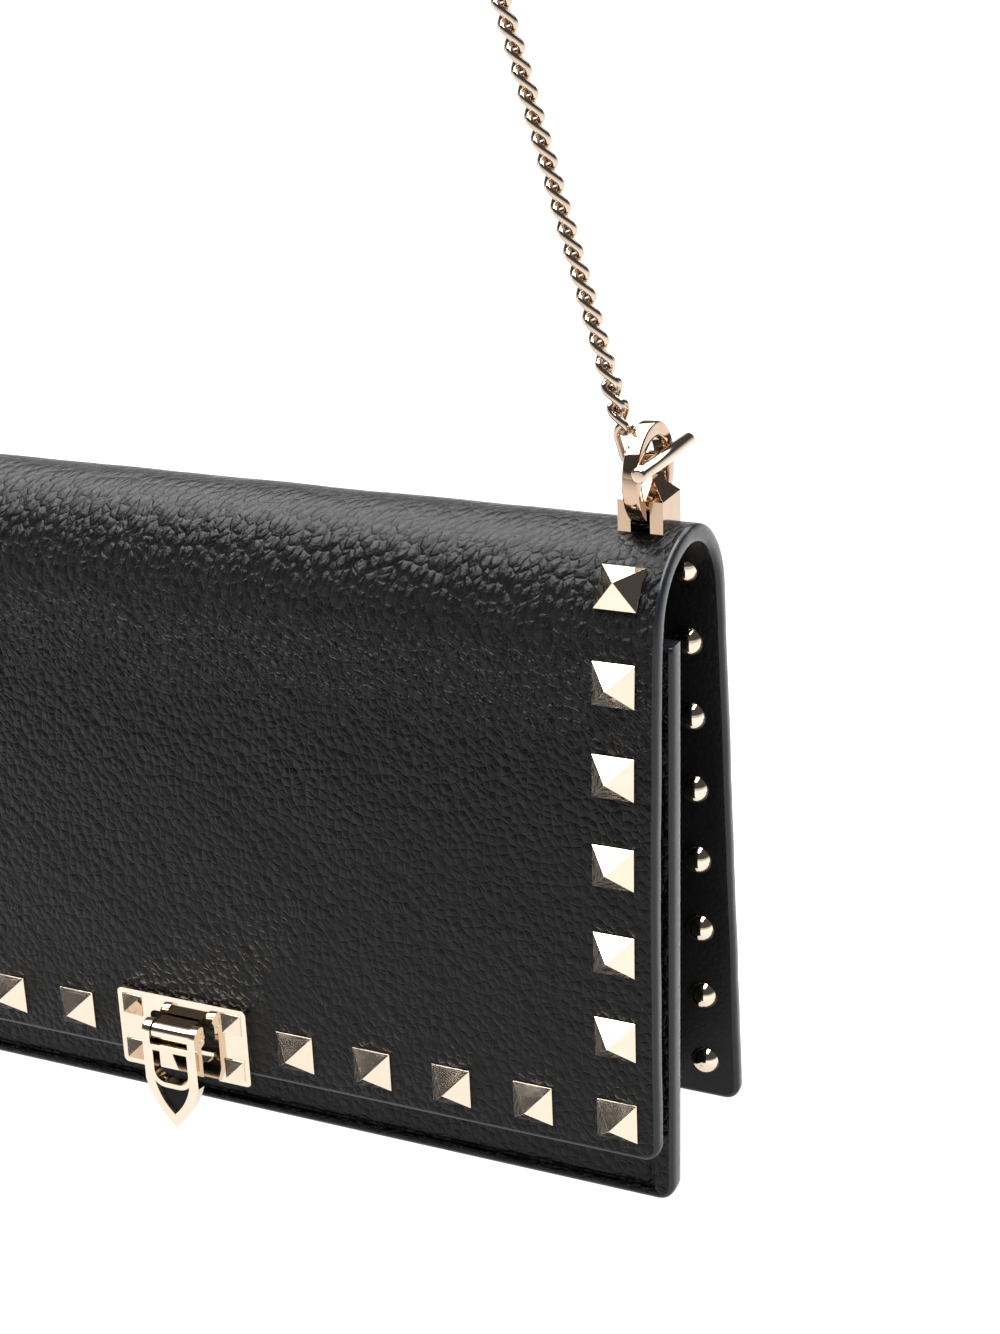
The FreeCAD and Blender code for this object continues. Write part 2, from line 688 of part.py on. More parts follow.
def make_lock_plate():
    half_width, half_height = LOCK_WIDTH / 2, LOCK_HEIGHT / 2
    low, high = LOCK_Z - half_height, LOCK_Z + half_height
    back, front = lock_y(LOCK_GAP), lock_y(LOCK_PLATE)
    plate = block(LOCK_X - half_width, LOCK_X + half_width, front, back, low, high)
    corners = [edge for edge in plate.Edges if edge.BoundBox.YLength > 1]
    plate = plate.makeFillet(LOCK_CORNER, corners)
    x0, x1 = LOCK_X - LOCK_WINDOW_HALF_WIDTH, LOCK_X + LOCK_WINDOW_HALF_WIDTH
    window = block(x0, x1, front - 1, back + 1, LOCK_WINDOW_LOW, LOCK_WINDOW_HIGH)
    corners = [edge for edge in window.Edges if edge.BoundBox.YLength > 1]
    window = window.makeFillet(LOCK_WINDOW_CORNER, corners)
    channel = block(x0, x1, front - 1, front + LOCK_CHANNEL_DEPTH, 0, LOCK_WINDOW_LOW + 2)
    plate = plate.cut(window).cut(channel)
    stud = pyramid(LOCK_STUD_SIDE, LOCK_STUD_LIP, LOCK_STUD_HEIGHT)
    for sx in (-1, 1):
        for sz in (-1, 1):
            point = Vector(LOCK_X + sx * LOCK_STUD_X, front, LOCK_Z + sz * LOCK_STUD_Z)
            plate = plate.fuse(placed(stud, point, Vector(0, -1, 0)))
    return drilled(plate.removeSplitter(), lock_screw_cylinders(-SCREW_START, 1.0))


def make_lock_back_plate():
    return drilled(lock_back_plate_block(0), lock_screw_cylinders(0, 2 * LEG_HOLE))


def make_lock_screws():
    back = lock_back_y() + INLAY_THICKNESS
    return lock_screw_cylinders(-SCREW_START, back - lock_y(SCREW_START))


def shield_face(inset, top, y):
    """Front view of the tongue's shield: parallel sides, then two arcs that meet at the tip."""
    half = TONGUE_HALF_WIDTH - inset
    tip = TONGUE_TIP + inset * TIP_NARROWING
    bulge_z = (TONGUE_SHOULDER + tip) / 2 - BULGE_DROP
    right = [Vector(LOCK_X + half, y, top), Vector(LOCK_X + half, y, TONGUE_SHOULDER)]
    left = [Vector(LOCK_X - half, y, TONGUE_SHOULDER), Vector(LOCK_X - half, y, top)]
    point = Vector(LOCK_X, y, tip)
    bulges = [Vector(LOCK_X + side * half * BULGE_WIDTH, y, bulge_z) for side in (1, -1)]
    edges = [
        Part.LineSegment(right[0], right[1]).toShape(),
        Part.Arc(right[1], bulges[0], point).toShape(),
        Part.Arc(point, bulges[1], left[0]).toShape(),
        Part.LineSegment(left[0], left[1]).toShape(),
        Part.LineSegment(left[1], right[0]).toShape(),
    ]
    return Part.Face(Part.Wire(edges))


def tongue_window(grown):
    """Opening through the tongue, round at the bottom, grown by a margin on every side."""
    half = TONGUE_WINDOW_HALF_WIDTH + grown
    low, high = TONGUE_WINDOW_LOW - grown, TONGUE_WINDOW_HIGH + grown
    window = block(LOCK_X - half, LOCK_X + half, lock_y(TONGUE_FRONT) - 1, lock_y(0), low, high)
    corners = [edge for edge in window.Edges if edge.BoundBox.YLength > 1 and edge.BoundBox.ZMax < high - 1]
    return window.makeFillet(TONGUE_WINDOW_CORNER + grown, corners)


def make_lock_tongue():
    """Shield with a pointed tip, a window, a sunk facet below it and two ears round the lock's pin."""
    front = lock_y(TONGUE_FRONT)
    shield = shield_face(0, LOCK_PIN_Z, front).extrude(Vector(0, TONGUE_THICKNESS, 0))
    ears = pin_cylinder(TONGUE_FRONT - LOCK_PIN_REACH, TONGUE_HALF_WIDTH)
    tongue = shield.fuse(ears)
    low, high = LOCK_PIN_Z - BRIDGE_RADIUS - BRIDGE_SLOT_GAP, LOCK_PIN_Z + LOCK_WIDTH
    slot = block(LOCK_X - EAR_INNER, LOCK_X + EAR_INNER, front - 1, lock_y(0), low, high)
    swing_clear = pin_cylinder(BRIDGE_RADIUS + BRIDGE_SLOT_GAP, EAR_INNER)
    facet = shield_face(FACET_INSET, TONGUE_SHOULDER + FACET_RIM, front).extrude(Vector(0, FACET_DEPTH, 0))
    facet = facet.cut(tongue_window(FACET_RIM))
    hole = pin_cylinder(LOCK_PIN_RADIUS + RUNNING_CLEARANCE, TONGUE_HALF_WIDTH + 1)
    return tongue.cut([slot, tongue_window(0), facet, swing_clear, hole])


# ---- Chain posts, rings and toggle bars ----


def post_stems():
    """The legs of both posts: two under each, from the leather's outer face down through its washer."""
    stems = []
    for side in (-1, 1):
        for foot in (-1, 1):
            low = Vector(side * POST_X + foot * STEM_X, BEND_Y, TOP_Z - STEM_LENGTH)
            stems.append(Part.makeCylinder(STEM_RADIUS, STEM_LENGTH, low))
    return stems


def lengthways_roll(x, radius):
    """Cylinder along the bend's own axis, wide enough for one post."""
    return Part.makeCylinder(radius, 2 * POST_SIDE, Vector(x - POST_SIDE, BEND_Y, BEND_Z), Vector(1, 0, 0))


def make_post_right():
    """Square block with a pyramid top, a saddle foot, an arched tunnel from front to back and two legs."""
    half = POST_SIDE / 2
    x = POST_X
    shoulder = TOP_Z + POST_BLOCK - POST_LIP
    body = block(x - half, x + half, BEND_Y - half, BEND_Y + half, TOP_Z - 1, shoulder)
    cap = pyramid(POST_SIDE, POST_LIP, POST_PYRAMID + POST_LIP)
    cap.translate(Vector(x, BEND_Y, shoulder))
    body = body.fuse(cap).removeSplitter().cut(lengthways_roll(x, BEND_RADIUS))
    spring = TOP_Z + TUNNEL_HEIGHT - TUNNEL_HALF_WIDTH
    front, back = BEND_Y - POST_SIDE, BEND_Y + POST_SIDE
    tunnel = block(x - TUNNEL_HALF_WIDTH, x + TUNNEL_HALF_WIDTH, front, back, TOP_Z - 1, spring)
    arch = Part.makeCylinder(TUNNEL_HALF_WIDTH, back - front, Vector(x, front, spring), Vector(0, 1, 0))
    body = body.cut(tunnel.fuse(arch))
    return body.fuse(post_stems()[2:]).removeSplitter()


def make_post_washers():
    washers = []
    for stem in post_stems():
        x = stem.BoundBox.Center.x
        disc = Part.makeCylinder(WASHER_RADIUS, STEM_LENGTH, Vector(x, BEND_Y, TOP_Z - STEM_LENGTH))
        washers.append(disc.common(lengthways_roll(x, BEND_RADIUS - SHEET)).cut(stem))
    return washers


def make_ring_right():
    """Flat ring that stands front to back and passes through the post's tunnel."""
    centre = Vector(POST_X - RING_THICKNESS / 2, BEND_Y, RING_Z)
    disc = Part.makeCylinder(RING_RADIUS, RING_THICKNESS, centre, Vector(1, 0, 0))
    hole = Part.makeCylinder(RING_HOLE_RADIUS, RING_THICKNESS, centre, Vector(1, 0, 0))
    ring = disc.cut(hole)
    rims = [edge for edge in ring.Edges if edge.BoundBox.XLength < 1e-6]
    return ring.makeFillet(RING_ROUNDING, rims)


def link_shape(centre, along, across, length, half_width, wire):
    """Closed oval link: two straight sides and two round ends of the given wire radius."""
    straight = along * (length / 2 - half_width)
    side = across * half_width
    end = along * (length / 2)
    path = Part.Wire([
        Part.LineSegment(centre - straight + side, centre + straight + side).toShape(),
        Part.Arc(centre + straight + side, centre + end, centre + straight - side).toShape(),
        Part.LineSegment(centre + straight - side, centre - straight - side).toShape(),
        Part.Arc(centre - straight - side, centre - end, centre - straight + side).toShape(),
    ])
    section = Part.Wire(Part.makeCircle(wire, centre - straight + side, along))
    return path.makePipeShell([section], True, True)


def make_toggle_right():
    """Round bar across the ring's outer face, with an oval eye that reaches through the ring."""
    x = POST_X + BAR_X
    start = Vector(x, BEND_Y - BAR_LENGTH / 2, BAR_Z)
    bar = Part.makeCylinder(BAR_RADIUS, BAR_LENGTH, start, Vector(0, 1, 0))
    bar = bar.makeFillet(BAR_ROUNDING, [edge for edge in bar.Edges if edge.BoundBox.YLength < 1e-6])
    middle = Vector(x - EYE_REACH / 2, BEND_Y, BAR_Z)
    half_width = EYE_WIDTH / 2 - EYE_WIRE
    eye = link_shape(middle, Vector(1, 0, 0), Vector(0, 1, 0), EYE_REACH, half_width, EYE_WIRE)
    return bar.fuse(eye)


def chain_direction():
    return Vector(-math.sin(CHAIN_LEAN), 0, math.cos(CHAIN_LEAN))


def eye_end():
    """Centre of the eye's wire at its far end, inside the ring."""
    return Vector(POST_X + BAR_X - EYE_REACH, BEND_Y, BAR_Z)


def end_link_centre():
    below = EYE_WIRE + LINK_WIRE + LINK_GAP
    return eye_end() + chain_direction() * (LINK_LENGTH / 2 - below)


def make_end_link_right():
    up = chain_direction()
    across = Vector(up.z, 0, -up.x)
    return link_shape(end_link_centre(), up, across, LINK_LENGTH, LINK_HALF_WIDTH, LINK_WIRE)


def chain_route():
    """Corners of the chain's route from the right end link, up, over the support and down to the left one."""
    start = end_link_centre() + chain_direction() * (LINK_LENGTH / 2 + LINK_WIRE)
    corner_x = start.x - (CHAIN_TOP - start.z) * math.tan(CHAIN_LEAN)
    right = [start, Vector(corner_x, start.y, CHAIN_TOP)]
    return right + [Vector(-point.x, point.y, point.z) for point in reversed(right)]


def make_chain():
    """Straight runs joined by tangent arcs, swept with the chain's outer section."""
    route = chain_route()
    edges = []
    at = route[0]
    length = 0.0
    for k in range(1, len(route) - 1):
        before = (route[k] - route[k - 1]).normalize()
        after = (route[k + 1] - route[k]).normalize()
        turn = math.acos(before.dot(after))
        shorter = min((route[k] - route[k - 1]).Length, (route[k + 1] - route[k]).Length)
        reach = RUN_SHARE * shorter
        radius = reach / math.tan(turn / 2)
        print("chain arc", k, "turn", round(math.degrees(turn), 1), "radius", round(radius, 1))
        first, last = route[k] - before * reach, route[k] + after * reach
        inward = (after - before).normalize()
        middle = route[k] + inward * (radius / math.cos(turn / 2) - radius)
        edges.append(Part.LineSegment(at, first).toShape())
        edges.append(Part.Arc(first, middle, last).toShape())
        length += (first - at).Length + radius * turn
        at = last
    edges.append(Part.LineSegment(at, route[-1]).toShape())
    length += (route[-1] - at).Length
    section = Part.Wire(Part.makeCircle(CHAIN_DIAMETER / 2, route[0], route[1] - route[0]))
    tube = Part.Wire(edges).makePipeShell([section], True, True)
    expected = math.pi * (CHAIN_DIAMETER / 2) ** 2 * length
    print("chain length", round(length, 1), "volume", round(tube.Volume, 1), "expected", round(expected, 1))
    return tube


def main():
    os.makedirs("parts", exist_ok=True)
    save("flap_panel", make_flap_panel())
    save("flap_lining", make_flap_lining())
    save("back_panel", make_back_panel())
    save("roof_lining", make_roof_lining())
    save("back_facing", make_back_facing())
    save("front_panel", make_front_panel())
    save("front_lining", make_front_lining())
    save("front_border", make_front_border())
    save("gusset_right", make_gusset_right())
    save("gusset_left", mirrored(make_gusset_right()))
    save("base_gusset", make_base_gusset())
    save("pocket_front_wall", make_pocket_wall(POCKET_FRONT_Y))
    save("pocket_rear_wall", make_pocket_wall(POCKET_FRONT_Y + POCKET_WALL + POCKET_GAP))
    for k in range(CARD_SLOT_COUNT):
        save("card_slot_" + str(k + 1), make_card_slot(k))
    save("zip_tapes", [make_zip_tape(side) for side in (-1, 1)])
    save("zip_teeth", [tooth_comb(side) for side in (-1, 1)])
    save("zip_stops", make_zip_stops())
    save("zip_slider", make_zip_slider())
    save("zip_pull", make_zip_pull())
    save("flap_studs", make_flap_studs())
    save("back_studs", make_back_studs())
    save("back_rivet_caps", make_back_rivet_caps())
    save("lock_plate", make_lock_plate())
    save("lock_bridge", make_lock_bridge())
    save("lock_pin", pin_cylinder(LOCK_PIN_RADIUS, TONGUE_HALF_WIDTH - 0.05))
    save("lock_tongue", make_lock_tongue())
    save("lock_back_plate", make_lock_back_plate())
    save("lock_screws", make_lock_screws())
    save("flap_magnet", flap_magnet_disc(0))
    save("body_magnet", body_magnet_disc())
    save("post_washers", make_post_washers())
    for name, maker in (("post", make_post_right), ("ring", make_ring_right)):
        save(name + "_right", maker())
        save(name + "_left", mirrored(maker()))
    for name, maker in (("toggle", make_toggle_right), ("end_link", make_end_link_right)):
        save(name + "_right", maker())
        save(name + "_left", mirrored(maker()))
    save("chain", make_chain())


main()
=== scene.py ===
import json
import math

import bmesh
import bpy
from mathutils import Matrix, Vector, noise


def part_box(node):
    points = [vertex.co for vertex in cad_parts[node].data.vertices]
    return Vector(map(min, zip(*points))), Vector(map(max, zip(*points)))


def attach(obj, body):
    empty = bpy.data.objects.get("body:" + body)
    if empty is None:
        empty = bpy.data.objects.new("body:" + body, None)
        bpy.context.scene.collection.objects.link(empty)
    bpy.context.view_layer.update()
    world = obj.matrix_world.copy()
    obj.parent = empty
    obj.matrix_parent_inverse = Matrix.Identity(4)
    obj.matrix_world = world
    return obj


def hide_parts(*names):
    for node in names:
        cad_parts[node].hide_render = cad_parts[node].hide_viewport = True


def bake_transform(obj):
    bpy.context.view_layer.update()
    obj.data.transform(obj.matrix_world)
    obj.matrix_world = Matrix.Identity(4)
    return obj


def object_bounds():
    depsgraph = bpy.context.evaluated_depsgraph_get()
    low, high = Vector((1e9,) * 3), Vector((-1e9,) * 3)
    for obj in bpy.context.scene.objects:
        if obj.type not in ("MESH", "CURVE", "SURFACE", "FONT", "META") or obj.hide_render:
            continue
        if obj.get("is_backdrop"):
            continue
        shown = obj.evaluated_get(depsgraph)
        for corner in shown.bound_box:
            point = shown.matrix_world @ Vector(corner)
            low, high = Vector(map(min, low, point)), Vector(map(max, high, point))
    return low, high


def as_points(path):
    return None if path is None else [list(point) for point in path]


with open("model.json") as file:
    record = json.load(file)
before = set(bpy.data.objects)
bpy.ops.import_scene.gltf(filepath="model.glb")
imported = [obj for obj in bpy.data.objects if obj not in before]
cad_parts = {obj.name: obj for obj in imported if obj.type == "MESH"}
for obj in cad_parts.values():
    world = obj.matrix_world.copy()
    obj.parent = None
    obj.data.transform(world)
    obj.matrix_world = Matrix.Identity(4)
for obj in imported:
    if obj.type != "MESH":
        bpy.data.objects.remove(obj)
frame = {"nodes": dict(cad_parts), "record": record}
cad_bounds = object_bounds()

MM = 0.001

# Camera at the photograph's viewing angle
CAMERA_PLACE = Vector((228.17, -348.29, 239.39)) * MM
CAMERA_AZIMUTH = math.radians(25.88)
CAMERA_ELEVATION = math.radians(20.99)
CAMERA_ROLL = math.radians(-2.427)
CAMERA_LENS = 64.19

# Chain: its spline's control points as (x, z) in millimetres, its length in metres, and its links
CHAIN_Y = -0.75
CHAIN_FOOT = (83.543, 137.062)
CHAIN_RISE = (50.293, 253.73)
CHAIN_CORNER = (32.546, 316.0)
LINK_PITCH = 3.66 * MM
LINK_HALF_LENGTH = 2.6 * MM
LINK_HALF_WIDTH = 1.25 * MM
LINK_TWIST = -1.0 * MM
LINK_WIRE = 0.66 * MM
LINK_ROLL = math.radians(-58)
FIRST_LINK = 0.75 * MM
TURNED_LINKS = 4

# Rings, toggle bars with their eyes, and end links
RING_HOLE_RADIUS = 5.95 * MM
RING_RIM = 0.4 * MM
TOGGLE_RADIUS = 1.3 * MM
TOGGLE_CHAMFER = 0.55 * MM
EYE_REACH = 5.65 * MM
EYE_WIRE = 0.65 * MM
EYE_HALF_WIDTH = 1.35 * MM
END_LINK_HALF_LENGTH = 3.175 * MM
END_LINK_HALF_WIDTH = 1.6 * MM
END_LINK_WIRE = 0.575 * MM

# Cover profile: flap's large front arc, the bend over the top and the straight back
COVER_HALF = 95.5 * MM
CORNER = 3.0 * MM
CORNER_ROWS = 12
FLAP_BOTTOM = 10.5 * MM
FLAP_SHEET = 3.2 * MM
BACK_SHEET = 2.8 * MM
BEND_RADIUS = 16.1 * MM
BEND_Y = -0.75 * MM
BEND_Z = 104.1 * MM
FACE_RADIUS = 1030.0 * MM
FACE_LEAN = math.radians(4.75)
BACK_LEAN = math.radians(4.4)
FACE_Y = BEND_Y + (FACE_RADIUS - BEND_RADIUS) * math.cos(FACE_LEAN)
FACE_Z = BEND_Z - (FACE_RADIUS - BEND_RADIUS) * math.sin(FACE_LEAN)
BACK_RUN = (BEND_Z + BEND_RADIUS * math.sin(BACK_LEAN)) / math.cos(BACK_LEAN)

# Unevenness of the leather: size across, height and seed
COVER_SWELL = (17 * MM, 0.16 * MM, 1.7)
COVER_RIPPLE = (6 * MM, 0.07 * MM, 4.1)
COVER_SIDE_WAVE = (14 * MM, 0.22 * MM, 9.3)
PANEL_SWELL = (15 * MM, 0.12 * MM, 6.2)
GROOVE_WAVE = (2.2 * MM, 0.35 * MM, 3.7)

# Heights between which the grain changes
GRAIN_RISES = (66 * MM, 98 * MM)
SCORES_RISE = (80 * MM, 100 * MM)
PEBBLES_STRETCH = (99 * MM, 106 * MM)
GRAIN_CALMS = (111 * MM, 118.5 * MM)

# Rounded painted edge: (inset from the outline, depth below the outer face)
EDGE_PROFILE = [
    (0.9 * MM, 0.0),
    (0.42 * MM, 0.1 * MM),
    (0.12 * MM, 0.5 * MM),
    (0.0, 1.05 * MM),
    (0.0, 2.15 * MM),
    (0.12 * MM, 2.7 * MM),
    (0.42 * MM, 3.1 * MM),
    (0.9 * MM, 3.2 * MM),
]

# Front panel
PANEL_HALF = 96.3 * MM
PANEL_TOP = 103.3 * MM
PANEL_FOOT_Y = -15.15 * MM
PANEL_LEAN = math.radians(2.0)
PANEL_SHEET = 3.8 * MM
BORDER_WIDTH = 4.0 * MM
BORDER_FOOT = 1.8 * MM
BORDER_RAISE = 0.5 * MM
GROOVE_DEPTH = 0.5 * MM
GROOVE_WIDTH = 1.0 * MM

# Gussets: heights, places of the W's corners and distance behind the panel's foot line
GUSSET_LOW = 4.0 * MM
GUSSET_TOP = 98.0 * MM
GUSSET_EDGE_X = 82.0 * MM
GUSSET_FOLD_X = 71.0 * MM
GUSSET_MIDDLE_X = 78.0 * MM
GUSSET_SET_BACK = 4.2 * MM

# Studs, and how near to them the leather lies calm
STUD_COLUMN_X = 88.0 * MM
STUD_ROW_Z = 17.8 * MM
STUD_CALM = 6.5 * MM

# Zip
TOOTH_PITCH = 1.6 * MM
TOOTH_WIDTH = 0.72 * MM
TOOTH_REACH = 0.45 * MM

# Lock
FACET_SINK = 0.7 * MM

# Studio
OVERHEAD_Z = 1.5
OVERHEAD_RADIANCE = 10.0
FLOOR_HALF = 6.0


# ---- Mesh helpers ----


def add_object(name, mesh, materials):
    for material in materials:
        mesh.materials.append(material)
    piece = bpy.data.objects.new(name, mesh)
    bpy.context.scene.collection.objects.link(piece)
    return piece


def mesh_from(name, points, faces, slots=None):
    mesh = bpy.data.meshes.new(name)
    mesh.from_pydata([tuple(p) for p in points], [], faces)
    if slots:
        mesh.polygons.foreach_set("material_index", slots)
    mesh.update()
    return mesh


def smooth(mesh, sharp_degrees):
    mesh.polygons.foreach_set("use_smooth", [True] * len(mesh.polygons))
    mesh.set_sharp_from_angle(angle=math.radians(sharp_degrees))


def closed_tube(points, radius, up, sides=8):
    """Vertices and faces of a round wire bent into a closed loop."""
    count = len(points)
    verts, faces = [], []
    for k in range(count):
        along = (points[(k + 1) % count] - points[k - 1]).normalized()
        normal = (up - along * up.dot(along)).normalized()
        side = along.cross(normal)
        for j in range(sides):
            angle = 2 * math.pi * j / sides
            verts.append(points[k] + (normal * math.cos(angle) + side * math.sin(angle)) * radius)
    for k in range(count):
        for j in range(sides):
            a, b = k * sides + j, k * sides + (j + 1) % sides
            c, d = (k + 1) % count * sides + (j + 1) % sides, (k + 1) % count * sides + j
            faces.append((a, d, c, b))
    return verts, faces


def turned(profile, centre, axis, side, segments=72, ring=False):
    """Vertices and faces of a (radius, height) profile turned about an axis. A ring's is closed."""
    across = axis.cross(side)
    verts, faces = [], []
    for radius, height in profile:
        for k in range(segments):
            angle = 2 * math.pi * k / segments
            outwards = side * math.cos(angle) + across * math.sin(angle)
            verts.append(centre + axis * height + outwards * radius)
    rows = len(profile)
    for j in range(rows if ring else rows - 1):
        for k in range(segments):
            after, low, high = (k + 1) % segments, j * segments, (j + 1) % rows * segments
            faces.append((low + k, low + after, high + after, high + k))
    if not ring:
        faces.append(tuple(reversed(range(segments))))
        faces.append(tuple(range((rows - 1) * segments, rows * segments)))
    return verts, faces


def joined(parts):
    """Vertices and faces of several parts as one."""
    verts, faces = [], []
    for part_verts, part_faces in parts:
        start = len(verts)
        verts.extend(part_verts)
        faces.extend(tuple(start + i for i in face) for face in part_faces)
    return verts, faces


def recalculated(mesh):
    bm = bmesh.new()
    bm.from_mesh(mesh)
    bmesh.ops.recalc_face_normals(bm, faces=bm.faces)
    bm.to_mesh(mesh)
    bm.free()
    return mesh


def node_body(node):
    return next(body for body, members in frame["record"]["behaviour"]["bodies"].items() if node in members)


def refined(node, bevel, materials, sharp=32, segments=2):
    """Copy of a hard CAD node with its edges rounded, standing for the node on its body."""
    bm = bmesh.new()
    bm.from_mesh(frame["nodes"][node].data)
    bmesh.ops.remove_doubles(bm, verts=bm.verts, dist=0.001 * MM)
    bmesh.ops.dissolve_limit(bm, angle_limit=math.radians(0.6), verts=bm.verts, edges=bm.edges)
    for face in bm.faces:
        face.material_index = 0
    edges = [e for e in bm.edges if len(e.link_faces) == 2 and e.calc_face_angle(0) > math.radians(sharp)]
    bmesh.ops.bevel(
        bm, geom=edges, offset=bevel, offset_type="OFFSET", segments=segments, profile=0.5,
        affect="EDGES", clamp_overlap=True,
    )
    mesh = bpy.data.meshes.new(node + "_finished")
    bm.to_mesh(mesh)
    bm.free()
    smooth(mesh, 40)
    piece = add_object(node + "_finished", mesh, materials)
    weigh = piece.modifiers.new("weigh", "WEIGHTED_NORMAL")
    weigh.keep_sharp = True
    weigh.weight = 100
    apply_modifiers(piece)
    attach(piece, node_body(node))
    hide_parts(node)
    return piece


def apply_modifiers(piece):
    bpy.context.view_layer.update()
    ready = piece.evaluated_get(bpy.context.evaluated_depsgraph_get())
    mesh = bpy.data.meshes.new_from_object(ready)
    old = piece.data
    piece.modifiers.clear()
    piece.data = mesh
    mesh.name = old.name
    bpy.data.meshes.remove(old)


# ---- Node helpers and materials ----


def new_material(name):
    material = bpy.data.materials.new(name)
    material.use_nodes = True
    return material, material.node_tree.nodes["Principled BSDF"]


def add_node(material, kind, inputs=None, **settings):
    node = material.node_tree.nodes.new(kind)
    for key, value in settings.items():
        setattr(node, key, value)
    for key, value in (inputs or {}).items():
        if hasattr(value, "is_output"):
            material.node_tree.links.new(value, node.inputs[key])
        else:
            node.inputs[key].default_value = value
    return node


def object_coordinates(material, scale, turn=(0, 0, 0)):
    place = add_node(material, "ShaderNodeTexCoord").outputs["Object"]
    return add_node(
        material, "ShaderNodeMapping", {"Vector": place, "Scale": scale, "Rotation": turn}
    ).outputs["Vector"]


def stretched_coordinates(material, size, turn):
    """Object coordinates turned, then divided by a size: a pattern runs along the turned axes."""
    place = add_node(material, "ShaderNodeTexCoord").outputs["Object"]
    inputs = {"Vector": place, "Scale": size, "Rotation": turn}
    return add_node(material, "ShaderNodeMapping", inputs, vector_type="TEXTURE").outputs["Vector"]


def math_node(material, operation, first, second):
    return add_node(material, "ShaderNodeMath", {0: first, 1: second}, operation=operation).outputs[0]


def noise_node(material, vector, scale, detail=2.0, roughness=0.5):
    inputs = {"Vector": vector, "Scale": scale, "Detail": detail, "Roughness": roughness}
    return add_node(material, "ShaderNodeTexNoise", inputs)


def ranged(material, value, low, high, to_low, to_high):
    """value, mapped from low..high to to_low..to_high and clamped."""
    inputs = {"Value": value, "From Min": low, "From Max": high, "To Min": to_low, "To Max": to_high}
    return add_node(material, "ShaderNodeMapRange", inputs).outputs["Result"]


def mixed_colour(material, factor, first, second):
    inputs = {"Factor": factor, 6: (*first, 1), 7: (*second, 1)}
    return add_node(material, "ShaderNodeMix", inputs, data_type="RGBA").outputs[2]


def height_of(material):
    """Object Z, in metres."""
    place = object_coordinates(material, (1, 1, 1))
    return add_node(material, "ShaderNodeSeparateXYZ", {"Vector": place}).outputs["Z"]


def added(material, base, extra, weight):
    """base + extra * weight."""
    return math_node(material, "ADD", base, math_node(material, "MULTIPLY", extra, weight))


def link_input(material, output, socket):
    material.node_tree.links.new(output, socket)


def grain(material, vector, cell):
    """Rounded pebbles between narrow creases, as a height from 0 to about 0.8."""
    warp = noise_node(material, vector, 0.7 / cell, 3.0).outputs["Color"]
    bent = add_node(
        material, "ShaderNodeMix", {"Factor": 1.0, 6: vector, 7: warp}, data_type="RGBA", blend_type="ADD"
    ).outputs[2]
    cells = {"Vector": bent, "Scale": 1 / cell}
    rounded = add_node(material, "ShaderNodeTexVoronoi", {**cells, "Smoothness": 0.6}, feature="SMOOTH_F1")
    edges = add_node(material, "ShaderNodeTexVoronoi", cells, feature="DISTANCE_TO_EDGE")
    pebble, crease = rounded.outputs["Distance"], edges.outputs["Distance"]
    dome = math_node(material, "MULTIPLY", ranged(material, pebble, 0.0, 0.8, 1.0, 0.0), 0.6)
    valley = math_node(material, "MULTIPLY", ranged(material, crease, 0.0, 0.14, 0.0, 1.0), 0.17)
    return math_node(material, "ADD", dome, valley)


def leather_relief(material, flat, up, cell, fold):
    """Pebbles with slanting folds and scored lines low down, long wrinkles where it is bent over the top."""
    turn = (0, math.radians(14), math.radians(-22))
    drawn = stretched_coordinates(material, (MM, 1.8 * MM, 1.8 * MM), turn)
    slanted = stretched_coordinates(material, (3.4 * MM, MM, MM), (0, math.radians(40), 0))
    folds = noise_node(material, slanted, 0.75 / cell, 2.0, 0.5).outputs["Fac"]
    level = math_node(material, "ABSOLUTE", math_node(material, "SUBTRACT", folds, 0.5), 0.0)
    scored = ranged(material, level, 0.0, 0.05, 0.0, 1.0)
    low = added(material, grain(material, flat, cell), folds, fold)
    low = added(material, low, scored, ranged(material, up, *SCORES_RISE, 0.04, 0.34))
    fine = noise_node(material, drawn, 3.0 / cell, 2.0, 0.6).outputs["Fac"]
    high = math_node(material, "MULTIPLY", grain(material, drawn, cell * 1.05), 1.3)
    high = added(material, high, fine, 0.35)
    both = {"Factor": ranged(material, up, *PEBBLES_STRETCH, 0.0, 1.0), "A": low, "B": high}
    height = add_node(material, "ShaderNodeMix", both, data_type="FLOAT").outputs[0]
    pores = noise_node(material, flat, 8.0 / cell, 2.0, 0.6).outputs["Fac"]
    return added(material, height, pores, 0.12)


def leather(name, dark, light, cell, depth, roughness, ior, fold=0.55):
    """Black calf: its colour carries painted shade, darker in the creases, folds and scored lines and lighter
    on the pebble tops, scaled by a random wear tone; its gloss follows the wear.
    """
    material, shader = new_material(name)
    flat = object_coordinates(material, (1 / MM, 1 / MM, 0.9 / MM))
    up = height_of(material)
    height = leather_relief(material, flat, up, cell, fold)
    rising = ranged(material, up, *GRAIN_RISES, 0.52, 1.0)
    calming = ranged(material, up, *GRAIN_CALMS, 1.0, 0.42)
    strength = math_node(material, "MULTIPLY", rising, calming)
    bump = add_node(material, "ShaderNodeBump", {"Height": height, "Strength": strength, "Distance": depth})
    link_input(material, bump.outputs["Normal"], shader.inputs["Normal"])
    worn = noise_node(material, flat, 0.06, 3.0).outputs["Fac"]
    # Painted shade: the colour follows the relief's height, so creases, folds and scored lines are darkened
    # and pebble tops lightened; the random wear noise only scales it.
    tone = math_node(material, "MULTIPLY", height, ranged(material, worn, 0.3, 0.7, 0.7, 1.0))
    link_input(material, mixed_colour(material, tone, dark, light), shader.inputs["Base Color"])
    gloss = ranged(material, worn, 0.3, 0.7, roughness - 0.05, roughness + 0.06)
    link_input(material, gloss, shader.inputs["Roughness"])
    shader.inputs["IOR"].default_value = ior
    return material


